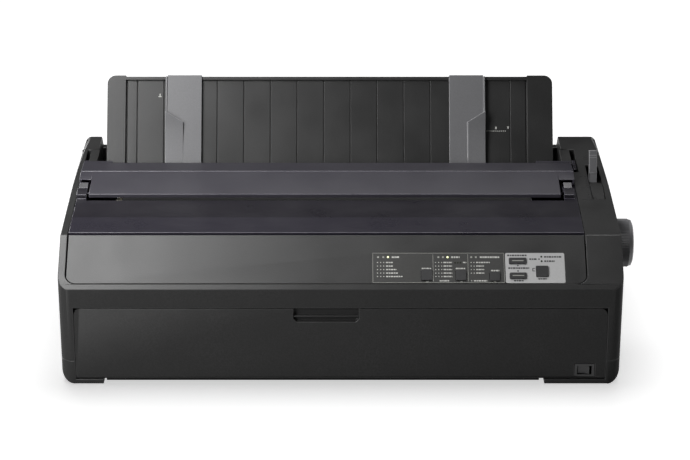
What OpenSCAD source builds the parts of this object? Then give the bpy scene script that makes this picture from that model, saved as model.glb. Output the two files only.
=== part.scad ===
// Wide-carriage impact printer: two-part case, smoked covers, tiltable sheet guide, and the
// printing mechanism inside it. Millimetres. X runs to the right, Y to the back, Z up.
// Inside the modules Y counts from the front face and X from the middle of the case.

/* [Case] */
// Width of the case without the paper feed knob
body_w = 618; // [560:1:760]
// Depth of the case from the front face to the back
body_d = 350; // [345:1:440]
// Height of the upright front face
face_h = 113.6; // [108:0.2:140]
// Wall thickness of the mouldings
wall = 2.8; // [2.2:0.1:3.2]
// Height of the line where the upper case meets the lower case
parting_z = 28; // [26:1:34]
// Narrow margin beside the covers, on the left
margin_l = 8; // [6:0.5:14]
// Wide margin beside the covers, on the right, which holds the release lever
margin_r = 39.6; // [36:0.5:60]
// Gap between neighbouring mouldings
seam = 0.5; // [0.3:0.1:0.8]
// Fall of the case's back edge in degrees
back_fall = 50; // [40:1:55]

/* [Control panel] */
// Slope of the control panel in degrees
panel_slope = 40; // [34:1:44]
// Length of the control panel up its slope
panel_len = 60.3; // [56:0.1:70]
// Slope of the printer cover in degrees
cover_slope = 4.5; // [3:0.5:6]
// How far a button travels
button_travel = 0.8; // [0.4:0.1:1]

/* [Covers and guides] */
// Thickness of the smoked covers
cover_t = 2.2; // [1.8:0.1:2.6]
// Height of the front cover
front_cover_h = 85; // [76:0.5:88]
// Lean of the sheet guide from upright in degrees
guide_lean = 29; // [24:1:34]
// Length of the sheet guide above its paper slot
guide_len = 101; // [80:1:120]
// Width of an edge guide
edge_guide_w = 40.5; // [36:0.5:50]

/* [Mechanism] */
// Height of the platen's axis
platen_z = 125.5; // [124:0.1:127]
// Distance of the platen's axis behind the front face
platen_y = 106; // [105:0.5:110]
// Radius of the platen's rubber
platen_r = 14.5; // [13:0.1:15]
// Radius of the platen's steel shaft
platen_shaft_r = 4; // [3:0.1:4.5]
// Radius of the paper feed knob
knob_r = 27.2; // [22:0.1:28]
// How far the knob stands out of the case
knob_proud = 19.2; // [16:0.1:26]
// Radius of the carriage's guide rod
rod_r = 6; // [4:0.1:7]
// Tooth module of the paper feed gears
gear_module = 1; // [1:0.05:1.1]

/* [Hidden] */
$fn = 48;

// Running clearance of a pin or shaft, and the plain gap round a moving piece.
fit = 0.05;
gap = 0.3;
// Overlap that makes a cut run clean through a face.
eps = 1;

// Case outline.
half_w = body_w / 2;
foot_lift = 0.4;
floor_z = 6;
lip_y = 5.3;
lip_z = face_h + 4.8;
panel_top_y = lip_y + panel_len * cos(panel_slope);
panel_top_z = lip_z + panel_len * sin(panel_slope);
function cover_line(y) = panel_top_z + (y - panel_top_y) * tan(cover_slope);
ear_y = body_d - 34;
ear_z = cover_line(ear_y);
ear_r = 8;
ear_side_r = 13;
back_round = 26;
corner_r = 14;
back_corner_r = 10;
skirt_r = 15;

// Covers.
lid_l = -half_w + margin_l;
lid_r = half_w - margin_r;
mech_x = (lid_l + lid_r) / 2;
lid_front_y = panel_top_y + 5.8;
exit_front_y = lid_front_y + 81;
band_front_y = exit_front_y + 4.2;
band_rise = 5.6;
ridge_rise = 10;
slot_y = body_d - 110;
ridge_y = slot_y - 46;
ridge_z = cover_line(ridge_y) + ridge_rise;
flap_back_y = slot_y - 18;
flap_lug_y = slot_y - 10;
flap_lug_l = lid_l + 34;
flap_lug_r = lid_r - 41;
flap_l = lid_l + 14.5;
flap_r = lid_r - 19;
flap_notch_y = band_front_y + 33;
block_back_y = band_front_y + 17;
flap_axis = [band_front_y + 8, cover_line(band_front_y + 8) + 2.6];
flap_pin_r = 1.6;
block_l_w = 11;
block_r_w = 14.5;
cover_axis = [slot_y + 6, cover_line(slot_y + 6) - 4.5];
cover_pin_r = 2.5;
cover_lug_w = 3.4;

// Openings of the upper case.
ear_inner_l = lid_l + 13;
ear_inner_r = lid_r - 7.4;
ear_block_y = slot_y + 36;
slit_front_y = slot_y - 26;
tongue_y = slot_y - 4;
tongue_depth = 20;
slit_l_w = 4.4;
slit_r = lid_r + 8;
slit_r_w = 5.6;
bay_back_y = body_d - 32;
crossbar_z = cover_line(bay_back_y) - 16;

// Front cover.
fc_half = half_w - 17;
fc_bottom_z = floor_z + 0.1;
fc_top_z = fc_bottom_z + front_cover_h;
fc_t = 2.6;
fc_barrel_r = 3.2;
fc_axis_y = fc_barrel_r;
fc_axis_z = fc_bottom_z + fc_barrel_r;
fc_pin_r = 1.6;
bulkhead_y = 7.2;
pull_l = mech_x - 36;
pull_r = mech_x + 36;
pull_z = fc_top_z - 16;
pull_tongue = 2.6;
switch_l = half_w - 51.5;
switch_r = half_w - 28.5;
switch_z0 = 9;
switch_z1 = 24.5;

// Frame plates and the stations along X.
plate_t = 2;
frame_l = lid_l + 44;
frame_r = lid_r - 44.4;
gear_x = frame_l - 9;
gear_w = 6;
platen_l = frame_l + 26;
platen_end = frame_r - 26;

// Carriage.
rod_y = platen_y - 42;
rod_z = platen_z - 33.5;
carriage_w = 64;
carriage_x = frame_l + 87;
head_z = platen_z;
belt_y = rod_y - 14;
belt_z = rod_z - 17;
belt_h = 5;
belt_t = 1.2;
pulley_r = 7;
motor_pulley_x = frame_l + 32;
idler_pulley_x = frame_r - 11.5;
tray_z = rod_z - 22;
tray_t = 2;
tray_front_y = rod_y - 38;
tray_back_y = rod_y + 14;

// Tractors and their shafts.
tractor_y = body_d - 75;
tractor_z = 112;
tractor_shaft_r = 4;
support_y = tractor_y + 26;
support_z = tractor_z - 6;
support_r = 4;
tractor_w = 26;
tractor_left_x = frame_l + 40;
tractor_right_x = frame_r - 40 - tractor_w;

// Gear train, in tooth numbers, from the platen to the tractor shaft.
platen_teeth = 48;
reduction_teeth = 36;
tractor_teeth = 36;
pinion_teeth = 14;
function pitch_r(teeth) = teeth * gear_module / 2;
function mesh_distance(a, b) = pitch_r(a) + pitch_r(b);
platen_axis = [platen_y, platen_z];
reduction_axis = platen_axis + mesh_distance(platen_teeth, reduction_teeth) * [cos(-55), sin(-55)];
pinion_axis = reduction_axis + mesh_distance(reduction_teeth, pinion_teeth) * [cos(-70), sin(-70)];
tractor_axis = [tractor_y, tractor_z];
// The two transfer gears bridge the rest of the way. They are just big enough to reach, and their
// line bends downwards by the angle that makes the centre distances come out.
span = norm(tractor_axis - reduction_axis);
transfer_teeth = ceil((span / gear_module - reduction_teeth) / 2 + 0.5);
span_angle = atan2(tractor_axis.y - reduction_axis.y, tractor_axis.x - reduction_axis.x);
end_leg = mesh_distance(reduction_teeth, transfer_teeth);
mid_leg = mesh_distance(transfer_teeth, transfer_teeth);
bend = acos((span - mid_leg) / (2 * end_leg));
front_transfer_axis = reduction_axis + end_leg * [cos(span_angle - bend), sin(span_angle - bend)];
rear_transfer_axis = front_transfer_axis + mid_leg * [cos(span_angle), sin(span_angle)];

// Sheet guide: its front surface passes this point of the slot and leans back from there.
guide_slot = [slot_y + 5, cover_line(slot_y)];
guide_l = lid_l + 25;
guide_r = lid_r - 19;
guide_axis = [slot_y + 12, guide_slot.y - 12];
guide_pin_r = 2.5;

// Release lever.
lever_x = half_w - 17.2;
lever_w = 9;
lever_shaft_r = 4;
lever_axis = [slot_y - 65, 110];
lever_angle = 18.4;
lever_slot_l = half_w - 22;
lever_slot_r = half_w - 7.2;
lever_slot_front = slot_y - 98;
lever_slot_back = slot_y - 7;

// ---------------------------------------------------------------- helpers

module in_frame() {
  translate([-knob_proud / 2, -body_d / 2, 0]) children();
}

module block(x0, x1, y0, y1, z0, z1) {
  translate([x0, y0, z0]) cube([x1 - x0, y1 - y0, z1 - z0]);
}

// Extrudes a side view, drawn in Y and Z, from x0 to x1.
module along_x(x0, x1) {
  translate([x0, 0, 0]) rotate([90, 0, 90]) linear_extrude(x1 - x0) children();
}

// Extrudes a front view, drawn in X and Z, from y0 to y1.
module along_y(y0, y1) {
  translate([0, y1, 0]) rotate([90, 0, 0]) linear_extrude(y1 - y0) children();
}

module rod_x(x0, x1, axis, r) {
  translate([x0, axis.x, axis.y]) rotate([0, 90, 0]) cylinder(r = r, h = x1 - x0);
}

module rod_y_at(y0, y1, x, z, r) {
  translate([x, y1, z]) rotate([90, 0, 0]) cylinder(r = r, h = y1 - y0);
}

// A rectangle whose two lower and two upper corners have their own radius, as true arcs.
module round_rect(x0, x1, y0, y1, r_low, r_high) {
  module band(ya, yb, inset) {
    translate([x0 + inset, ya]) square([x1 - x0 - 2 * inset, yb - ya]);
  }
  band(y0 + r_low, y1 - r_high, 0);
  if (r_low > 0) {
    band(y0, y0 + r_low + 0.01, r_low);
    for (x = [x0 + r_low, x1 - r_low]) translate([x, y0 + r_low]) circle(r = r_low);
  }
  if (r_high > 0) {
    band(y1 - r_high - 0.01, y1, r_high);
    for (x = [x0 + r_high, x1 - r_high]) translate([x, y1 - r_high]) circle(r = r_high);
  }
}

function unit(v) = v / norm(v);
// A polygon, drawn counter-clockwise, moved inwards by d.
function inset(pts, d) = let (n = len(pts)) [
  for (i = [0 : n - 1])
    let (
      u = unit(pts[i] - pts[(i + n - 1) % n]),
      v = unit(pts[(i + 1) % n] - pts[i]),
      a = [-u.y, u.x],
      b = [-v.y, v.x]
    ) pts[i] + d * (a + b) / (1 + a * b)
];
function arc(c, r, a0, a1, steps) = [
  for (i = [0 : steps]) let (a = a0 + (a1 - a0) * i / steps) c + r * [cos(a), sin(a)]
];

// Puts what is drawn in (x, up the slope, out of the surface) on the control panel.
module on_panel() {
  translate([0, lip_y, lip_z]) rotate([panel_slope, 0, 0]) children();
}

// Puts what is drawn in (x, behind the front surface, up the guide) on the sheet guide.
module on_guide() {
  translate([0, guide_slot.x, guide_slot.y]) rotate([-guide_lean, 0, 0]) children();
}

// Involute gear outline. Its teeth are a little thin, which gives the running backlash.
module gear_shape(teeth, backlash = 0.3) {
  m = gear_module;
  r = pitch_r(teeth);
  base = r * cos(20);
  root = r - 1.2 * m;
  tip = r + 0.9 * m;
  function roll(q) = q > base ? sqrt(pow(q / base, 2) - 1) : 0;
  function inv(q) = roll(q) * 180 / PI - atan(roll(q));
  half = 90 / teeth - backlash / r * 90 / PI + inv(r);
  flank = [for (k = [0 : 2]) let (q = max(base, root) + (tip - max(base, root)) * k / 2) q];
  polygon([
    for (i = [0 : teeth - 1])
      let (c = i * 360 / teeth)
        each concat(
          [root * [cos(c - half - 0.6), sin(c - half - 0.6)]],
          [for (q = flank) q * [cos(c - half + inv(q)), sin(c - half + inv(q))]],
          [for (k = [2 : -1 : 0]) let (q = flank[k]) q * [cos(c + half - inv(q)), sin(c + half - inv(q))]],
          [root * [cos(c + half + 0.6), sin(c + half + 0.6)]]
        )
  ]);
}

// The angle of a gear's tooth that lets it mesh with a neighbour whose tooth is at phase_a.
function mesh_phase(axis_a, teeth_a, phase_a, axis_b, teeth_b) =
  let (
    d = axis_b - axis_a,
    beta = atan2(d.y, d.x),
    pitch = 180 * gear_module,
    s = pitch_r(teeth_a) * (phase_a - beta)
  ) beta + 180 - (s + pitch / 2) / pitch_r(teeth_b);

platen_phase = 0;
reduction_phase = mesh_phase(platen_axis, platen_teeth, platen_phase, reduction_axis, reduction_teeth);
pinion_phase = mesh_phase(reduction_axis, reduction_teeth, reduction_phase, pinion_axis, pinion_teeth);
front_transfer_phase =
  mesh_phase(reduction_axis, reduction_teeth, reduction_phase, front_transfer_axis, transfer_teeth);
rear_transfer_phase =
  mesh_phase(front_transfer_axis, transfer_teeth, front_transfer_phase, rear_transfer_axis, transfer_teeth);
tractor_phase =
  mesh_phase(rear_transfer_axis, transfer_teeth, rear_transfer_phase, tractor_axis, tractor_teeth);

// A gear in the plane outside the left frame plate, with its bore.
module train_gear(axis, teeth, phase, bore_r) {
  difference() {
    along_x(gear_x, gear_x + gear_w)
      translate(axis) rotate(phase) gear_shape(teeth);
    rod_x(gear_x - eps, gear_x + gear_w + eps, axis, bore_r);
    if (teeth > 30)
      difference() {
        rod_x(gear_x - eps, gear_x + 1.6, axis, pitch_r(teeth) - 4);
        rod_x(gear_x - 2 * eps, gear_x + 2, axis, bore_r + 4);
      }
  }
}

// A gear's fixed stub axle, standing out of the left side frame.
stub_r = 3;
module stub_axle(axis) {
  rod_x(gear_x - 1.5, frame_l + eps, axis, stub_r);
  rod_x(frame_l - 2.5, frame_l + eps, axis, stub_r + 3);
}

// Rounds the corners of a polygon, each with its own radius.
function corner(a, p, b, r, n = 6) =
  let (
    u = unit(a - p),
    v = unit(b - p),
    half = acos(u * v) / 2,
    c = p + unit(u + v) * r / sin(half),
    s = p + u * r / tan(half) - c,
    e = p + v * r / tan(half) - c,
    a0 = atan2(s.y, s.x),
    sweep = atan2(s.x * e.y - s.y * e.x, s * e)
  ) [for (i = [0 : n]) c + r * [cos(a0 + sweep * i / n), sin(a0 + sweep * i / n)]];
function rounded(pts, radii) = let (n = len(pts)) [
  for (i = [0 : n - 1])
    each (radii[i] > 0 ? corner(pts[(i + n - 1) % n], pts[i], pts[(i + 1) % n], radii[i]) : [pts[i]])
];
// A strip of thickness t below a line of points that runs to the back.
function strip(pts, t) = concat(
  pts,
  [for (i = [len(pts) - 1 : -1 : 0])
    let (
      u = unit(pts[max(i, 1)] - pts[max(i, 1) - 1]),
      v = unit(pts[min(i + 1, len(pts) - 1)] - pts[min(i, len(pts) - 2)]),
      a = [u.y, -u.x],
      b = [v.y, -v.x]
    ) pts[i] + t * (a + b) / (1 + a * b)]
);

// Colours.
case_grey = [0.23, 0.23, 0.235];
light_grey = [0.44, 0.45, 0.46];
smoked = [0.17, 0.165, 0.19];
steel = [0.66, 0.67, 0.68];
rubber = [0.09, 0.09, 0.09];
black = [0.12, 0.12, 0.12];
board_green = [0.12, 0.32, 0.18];
silver = [0.7, 0.7, 0.71];
cream = [0.82, 0.8, 0.72];

// ---------------------------------------------------------------- case

boss_r = 5;
screw_r = 1.6;
screw_head_r = 3.6;
screw_head_h = 2.4;
screw_y = [34, body_d - 30];
screw_x = half_w - 20;
foot_l = [-half_w, -half_w + 47];
foot_r = [half_w - 84, half_w];
foot_len = 34;
apron_z = 1.2;
plate_z = 11.2;
base_t = 1.2;
frame_front = 24;
frame_back = body_d - 42;
base_post_r = 6;
base_post = [for (x = [frame_l + 30, frame_r - 30]) for (y = [40, frame_back - 14]) [x, y]];
inlet_x = half_w - 88;
inlet_z = 46;
port_x = frame_l + 197;
port_z = 38;
usb_x = frame_l + 277;
back_vent_x = [inlet_x - 131, inlet_x - 71];
floor_vent_x = [frame_l + 57, frame_l + 177];
floor_vent_y = [120, 220];
front_boss_top = 98;
back_boss_top = 120;
paper_slot_z = [50, 84];
panel_corner_r = 12;
panel_cut_y = lip_y + 12;

// The case outline seen from above, drawn in by d.
module case_plan(d) {
  round_rect(-half_w + d, half_w - d, d, body_d - d, corner_r - d, back_corner_r - d);
}

// The space that the front cover takes out of both halves of the case.
module front_recess() {
  block(-fc_half - gap, fc_half + gap, -eps, bulkhead_y, floor_z - 0.3, fc_top_z + seam);
}

module lower_case() {
  in_frame() color(case_grey) difference() {
    union() {
      difference() {
        intersection() {
          translate([0, 0, floor_z]) linear_extrude(parting_z - floor_z) case_plan(0);
          along_y(0, body_d) round_rect(-half_w, half_w, foot_lift, parting_z + skirt_r, skirt_r, 0);
        }
        intersection() {
          translate([0, 0, floor_z + wall]) linear_extrude(parting_z) case_plan(wall);
          block(-half_w, half_w, bulkhead_y + wall, body_d, floor_z, parting_z + eps);
          along_y(0, body_d)
            round_rect(-half_w + wall, half_w - wall, floor_z + wall, parting_z + skirt_r, skirt_r - wall, 0);
        }
      }
      // feet that run out to the case's sides, and the apron between the front ones
      intersection() {
        translate([0, 0, foot_lift]) linear_extrude(floor_z) case_plan(0);
        along_y(0, body_d) round_rect(-half_w, half_w, foot_lift, parting_z, skirt_r, 0);
        for (x = [foot_l, foot_r])
          for (y = [0, body_d - foot_len - 6])
            block(x[0], x[1], y, y + foot_len, 0, floor_z + 1);
      }
      block(foot_l[1] + 2.5, foot_r[0] - 5, bulkhead_y, bulkhead_y + wall, apron_z, floor_z + 1);
      for (x = [-screw_x, screw_x])
        for (y = screw_y)
          translate([x, y, floor_z + 1]) cylinder(r = boss_r, h = parting_z - floor_z - 1);
      for (p = base_post)
        translate([p.x, p.y, floor_z + 1]) cylinder(r = base_post_r, h = plate_z - base_t - floor_z - 1);
    }
    front_recess();
    for (x = [-fc_half, fc_half])
      rod_x(x - 6, x + 6, [fc_axis_y, fc_axis_z], fc_pin_r + fit);
    for (x = [-screw_x, screw_x])
      for (y = screw_y) {
        translate([x, y, floor_z - eps]) cylinder(r = screw_r + 0.4, h = parting_z);
        translate([x, y, -eps]) cylinder(r = screw_head_r + 0.3, h = floor_z + 4 + eps);
      }
    for (p = base_post)
      translate([p.x, p.y, floor_z + 1]) cylinder(r = screw_r, h = parting_z);
    for (x = foot_pads_x)
      for (y = foot_pads_y)
        translate([x, y, 0]) cylinder(r = foot_pad_r, h = foot_lift + 1);
    switch_hole();
    for (x = [floor_vent_x[0] : 12 : floor_vent_x[1]])
      block(x, x + 4, floor_vent_y[0], floor_vent_y[1], floor_z - eps, floor_z + wall + eps);
  }
}

foot_pad_r = 9;
foot_pad_in = [16, 33.5];
foot_pads_x = [foot_l[1] - foot_pad_in[0], foot_r[0] + foot_pad_in[1]];
foot_pads_y = [foot_len / 2 + 1, body_d - 6 - foot_len / 2];

module rubber_feet() {
  in_frame() color(rubber)
    for (x = foot_pads_x)
      for (y = foot_pads_y)
        translate([x, y, 0]) cylinder(r = foot_pad_r, h = foot_lift + 1);
}

// The hole in the front wall that the power switch snaps into.
module switch_hole() {
  block(
    switch_l + 1.5, switch_r - 1.5, bulkhead_y - eps, bulkhead_y + wall + eps,
    switch_z0 + 1, switch_z1 - 1
  );
}

case_pts = [
  [0, parting_z], [body_d, parting_z], [body_d, ear_z - (body_d - ear_y) * tan(back_fall)],
  [ear_y, ear_z], [panel_top_y, panel_top_z], [lip_y, lip_z], [0, face_h]
];
case_radii = [0, 0, back_round, ear_r, 0, 1.5, 2];
room_pts = concat([[wall, parting_z - wall], [body_d - wall, parting_z - wall]],
  [for (i = [2 : 6]) inset(case_pts, wall)[i]]);
room_radii = [0, 0, back_round - wall, ear_r - wall, 0, 0, 0];

// A wall that hangs below the case's top skin, between y0 and y1 and as deep as given.
module curb(x0, x1, y0, y1, depth) {
  along_x(x0, x1) polygon([
    [y0, cover_line(y0) - depth], [y1, cover_line(y1) - depth],
    [y1, cover_line(y1) - 1], [y0, cover_line(y0) - 1]
  ]);
}

// The outside of the upper case, as a solid.
module case_solid() {
  intersection() {
    along_x(-half_w, half_w) polygon(rounded(case_pts, case_radii));
    translate([0, 0, parting_z]) linear_extrude(ear_z) case_plan(0);
    along_y(0, body_d) round_rect(-half_w, half_w, 0, ear_z, 0, ear_side_r);
  }
}

module upper_case() {
  in_frame() color(case_grey) difference() {
    union() {
      difference() {
        case_solid();
        intersection() {
          along_x(-half_w + wall, half_w - wall) difference() {
            polygon(rounded(room_pts, room_radii));
            square([bulkhead_y + wall, fc_top_z + seam + wall]);
          }
          translate([0, 0, parting_z - eps]) linear_extrude(ear_z) case_plan(wall);
        }
        // opening under the control panel, the covers and the sheet guide
        block(lid_l, lid_r, panel_cut_y, ear_block_y, parting_z, ear_z + eps);
        on_panel() translate([0, 0, -12]) linear_extrude(22)
          round_rect(lid_l, lid_r, 0, panel_len + 10, panel_corner_r, 0);
        block(lid_r - eps, slit_r, slit_front_y, ear_block_y, parting_z, ear_z + eps);
        // the bay behind the sheet guide, and the low deck behind the bay
        block(ear_inner_l, ear_inner_r, ear_block_y - eps, bay_back_y, parting_z, ear_z + eps);
        block(ear_inner_l, ear_inner_r, bay_back_y - eps, body_d + eps, crossbar_z, ear_z + eps);
      }
      // walls and deck round the bay, which end at the case's sloping back
      intersection() {
        case_solid();
        union() {
          curb(ear_inner_l - wall, ear_inner_l, ear_block_y - wall, body_d - 12, 34);
          curb(ear_inner_r, ear_inner_r + wall, ear_block_y - wall, body_d - 12, 34);
          for (b = [[bay_back_y + wall, 22], [body_d - 12, wall]])
            block(ear_inner_l - wall, ear_inner_r + wall, bay_back_y, b[0], crossbar_z - b[1], crossbar_z);
        }
      }
      curb(lid_r, lid_r + 2, panel_top_y + 4, slit_front_y, 12);
      curb(slit_r, slit_r + 2, slit_front_y - 2, ear_block_y, 18);
      curb(lid_r, slit_r + 2, slit_front_y - 2, slit_front_y, 18);
      // ribs that the control panel's housing rests on
      for (x = [lid_l + 30 : 90 : lid_r - 30])
        block(x, x + 2, wall - 0.5, 14, fc_top_z + seam + wall - 1, lip_z - 6.2);
      // the ear's front walls
      curb(-half_w + 1, ear_inner_l, ear_block_y, ear_block_y + wall, 20);
      curb(ear_inner_r, slit_r + 2, ear_block_y, ear_block_y + wall, 20);
      // tongues that carry the hinges of the cover and of the sheet guide
      tongue(lid_l + slit_l_w, ear_inner_l + 1);
      tongue(ear_inner_r - 1.6, slit_r - slit_r_w);
      for (x = [-screw_x, screw_x]) {
        translate([x, screw_y[0], parting_z]) cylinder(r = boss_r, h = front_boss_top - parting_z);
        translate([x, screw_y[1], parting_z]) cylinder(r = boss_r, h = back_boss_top - parting_z);
        block(x - 1, x + 1, screw_y[1], body_d - 1, parting_z, back_boss_top - 2);
        block(x - 1, x + 1, bulkhead_y, screw_y[0], parting_z, front_boss_top - 8);
      }
    }
    front_recess();
    switch_hole();
    for (x = [-screw_x, screw_x])
      for (y = screw_y)
        translate([x, y, parting_z - eps]) cylinder(r = screw_r, h = 30);
    // front paper slot behind the front cover
    block(
      frame_l + 54, frame_r - 10, bulkhead_y - eps, bulkhead_y + wall + eps,
      paper_slot_z[0], paper_slot_z[1]
    );
    // knob, lever and connectors
    rod_x(half_w - wall - eps, half_w + eps, platen_axis, 12);
    block(lever_slot_l, lever_slot_r, lever_slot_front, lever_slot_back, parting_z + 100, ear_z + eps);
    rod_x(lid_l, ear_inner_l + 2, cover_axis, cover_pin_r + fit);
    rod_x(ear_inner_r - 2, slit_r, cover_axis, cover_pin_r + fit);
    rod_x(ear_inner_l - 5.6, ear_inner_l + 2, guide_axis, guide_pin_r + fit);
    rod_x(ear_inner_r - 2, ear_inner_r + 5, guide_axis, guide_pin_r + fit);
    block(inlet_x - 14, inlet_x + 14, body_d - wall - eps, body_d + eps, inlet_z - 12, inlet_z + 12);
    block(port_x - 38, port_x + 38, body_d - wall - eps, body_d + eps, port_z - 9, port_z + 9);
    block(usb_x - 7, usb_x + 7, body_d - wall - eps, body_d + eps, port_z - 9, port_z + 3.5);
    // vents in the back wall
    for (x = [back_vent_x[0] : 7 : back_vent_x[1]])
      block(x, x + 3, body_d - wall - eps, body_d + eps, 40, 80);
  }
}

module tongue(x0, x1) {
  along_x(x0, x1) polygon([
    [tongue_y, cover_line(tongue_y) - tongue_depth],
    [ear_block_y + 1, cover_line(ear_block_y) - tongue_depth],
    [ear_block_y + 1, cover_line(ear_block_y + 1)], [tongue_y, cover_line(tongue_y)]
  ]);
}

// The cross recess of a screw's head, between two heights.
module cross_recess(z0, z1) {
  block(-2.4, 2.4, -0.4, 0.4, z0, z1);
  block(-0.4, 0.4, -2.4, 2.4, z0, z1);
}

module screws() {
  in_frame() color(steel) {
    for (x = [-screw_x, screw_x])
      for (y = screw_y)
        translate([x, y, floor_z + 0.6]) {
          difference() {
            cylinder(r = screw_head_r, h = screw_head_h);
            cross_recess(-eps, 1);
          }
          cylinder(r = screw_r, h = parting_z + 20 - floor_z);
        }
    for (p = base_post)
      translate([p.x, p.y, plate_z]) {
        difference() {
          cylinder(r = screw_head_r, h = screw_head_h);
          cross_recess(screw_head_h - 1, screw_head_h + eps);
        }
        translate([0, 0, floor_z + 1 - plate_z]) cylinder(r = screw_r, h = plate_z - floor_z - 1);
      }
  }
}

// ---------------------------------------------------------------- front cover and switch

module front_cover() {
  in_frame() color(case_grey) difference() {
    union() {
      along_y(0, fc_t) round_rect(-fc_half, fc_half, fc_axis_z, fc_top_z, 0, 8);
      difference() {
        rod_x(-fc_half, fc_half, [fc_axis_y, fc_axis_z], fc_barrel_r);
        block(switch_l - 1, switch_r + 1, fc_t, 2 * fc_barrel_r + eps, 0, 20);
      }
      block(-fc_half, fc_half, 0, fc_barrel_r - 0.6, fc_axis_z, fc_axis_z + 2);
      for (x = [-1, 1])
        rod_x(x * fc_half - 5, x * fc_half + 5, [fc_axis_y, fc_axis_z], fc_pin_r);
      // pocket behind the finger pull
      block(pull_l - 2, pull_r + 2, fc_t - 0.5, 6.6, pull_z - 2, fc_top_z - 0.6);
      // stiffening ribs
      for (x = [-fc_half + 72, pull_l - 68, pull_r + 50, fc_half - 122])
        block(x, x + 1.6, fc_t - 0.5, 5.6, fc_axis_z + 8, fc_top_z - 6);
    }
    along_y(-eps, 5.4) polygon([
      [pull_l + 4, pull_z], [pull_r - 4, pull_z], [pull_r, pull_z + 4], [pull_r, fc_top_z + eps],
      [pull_l, fc_top_z + eps], [pull_l, pull_z + 4]
    ]);
    block(switch_l, switch_r, -eps, 8, switch_z0 - 0.3, switch_z1 + 0.4);
  }
  in_frame() color(case_grey)
    block(pull_l - 1, pull_r + 1, 0.6, 5.6, pull_z + 6, pull_z + 6 + pull_tongue / 2);
}

switch_x = (switch_l + switch_r) / 2;
rocker_y = 8.4;
rocker_half = 6.4;
rocker_pin_r = 1.2;
rocker_tilt = 8;

module power_switch_body() {
  in_frame() color(black) difference() {
    union() {
      block(switch_l + 0.5, switch_r - 0.5, 0.8, bulkhead_y, switch_z0 + 0.1, switch_z1 - 0.4);
      block(switch_l + 1.8, switch_r - 1.8, bulkhead_y - eps, 30, switch_z0 + 1.3, switch_z1 - 1.3);
      for (x = [-5, 0, 5]) block(switch_x + x - 0.4, switch_x + x + 0.4, 29, 37, 14, 19);
    }
    block(switch_x - 8, switch_x + 8, -eps, 16, switch_z0 + 2.4, switch_z1 - 2.8);
    translate([switch_x, rocker_y, switch_z0 + 1])
      cylinder(r = rocker_pin_r + fit, h = switch_z1 - switch_z0 - 2.4);
  }
}

module power_rocker() {
  in_frame() color(black)
    translate([switch_x, rocker_y, 0]) rotate([0, 0, -rocker_tilt]) {
      translate([0, 0, switch_z0 + 2.8]) linear_extrude(switch_z1 - switch_z0 - 6)
        polygon([
          [-rocker_half, -6.8], [0, -5.4], [rocker_half, -6.8], [rocker_half, -3],
          [2.6, 3.4], [-2.6, 3.4], [-rocker_half, -3]
        ]);
      translate([0, 0, switch_z0 + 1.4]) cylinder(r = rocker_pin_r, h = switch_z1 - switch_z0 - 3.2);
    }
}

// ---------------------------------------------------------------- control panel

panel_t = 2.6;
label_t = 0.6;
// Labels, keys and lenses are placed by their distances from the covers' right edge.
function panel_box(b) = [lid_r - b[0], lid_r - b[1], b[2], b[3]];
overlay = panel_box([235.5, 90.2, 1.2, 38.5]);
plate = panel_box([89.3, 24.4, 1.2, 38]);
font_key = panel_box([181.6, 169.8, 4.3, 17.6]);
pitch_key = panel_box([144.1, 132.7, 4.3, 17.1]);
tear_off_key = panel_box([107, 95.7, 3.7, 14.7]);
load_key = panel_box([85.1, 66.4, 24.4, 31.6]);
line_feed_key = panel_box([84.7, 66.7, 6.1, 13.4]);
pause_key = panel_box([55.9, 42.7, 8.8, 21.7]);
keys = [font_key, pitch_key, tear_off_key, load_key, line_feed_key, pause_key];
lens_r = 1.1;
lens_places = [
  [217.6, 32.9], [152.3, 32.7], [144.2, 26.1], [141.3, 26.1], [138.4, 26.1], [49.6, 33.4], [49.5, 27.9]
];
lenses = [for (p = lens_places) [lid_r - p.x, p.y]];
key_gap = 0.35;
key_proud = 1.4;
key_flange_z = -panel_t - gap;
board_z = -7.2;
board_t = 1.6;
board_posts = [[overlay[0] - 3.6, 6], [overlay[0] - 3.6, 33], [plate[1] + 3, 6], [plate[1] + 3, 33]];
groove_z = panel_top_z - 5.6;

module key_hole(k, clearance) {
  translate([0, 0, -20]) linear_extrude(40)
    round_rect(k[0] - clearance, k[1] + clearance, k[2] - clearance, k[3] + clearance, 1.2, 1.2);
}

module lens_holes() {
  for (p = lenses) translate([p.x, p.y, -20]) cylinder(r = lens_r + fit, h = 40);
}

module control_panel_housing() {
  in_frame() color(case_grey) difference() {
    union() {
      difference() {
        on_panel() difference() {
          translate([0, 0, -8]) linear_extrude(8)
            round_rect(lid_l + seam, lid_r - seam, seam, panel_len, panel_corner_r - seam, 0);
          translate([0, 0, -8 - eps]) linear_extrude(8 + eps - panel_t)
            round_rect(lid_l + 2.5, lid_r - 2.5, 2.5, panel_len + eps, panel_corner_r - 2.5, 0);
          for (l = [overlay, plate])
            translate([0, 0, -label_t]) linear_extrude(2)
              round_rect(l[0] - 0.1, l[1] + 0.1, l[2] - 0.1, l[3] + 0.1, 2, 2);
        }
        block(lid_l, lid_r, panel_top_y, panel_top_y + 20, 100, 200);
      }
      // floor of the groove between the panel and the printer cover
      block(lid_l + seam + 1, lid_r - seam - 1, panel_top_y - 2, panel_top_y + 12, groove_z - 2, groove_z);
      block(lid_l + seam + 1, lid_r - seam - 1, panel_top_y - 2, panel_top_y, groove_z - 1, panel_top_z - 2);
      on_panel()
        for (p = board_posts) translate([p.x, p.y, board_z]) cylinder(r = 2.4, h = -board_z - 1);
    }
    on_panel() {
      for (k = keys) key_hole(k, key_gap);
      lens_holes();
    }
  }
}

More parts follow.
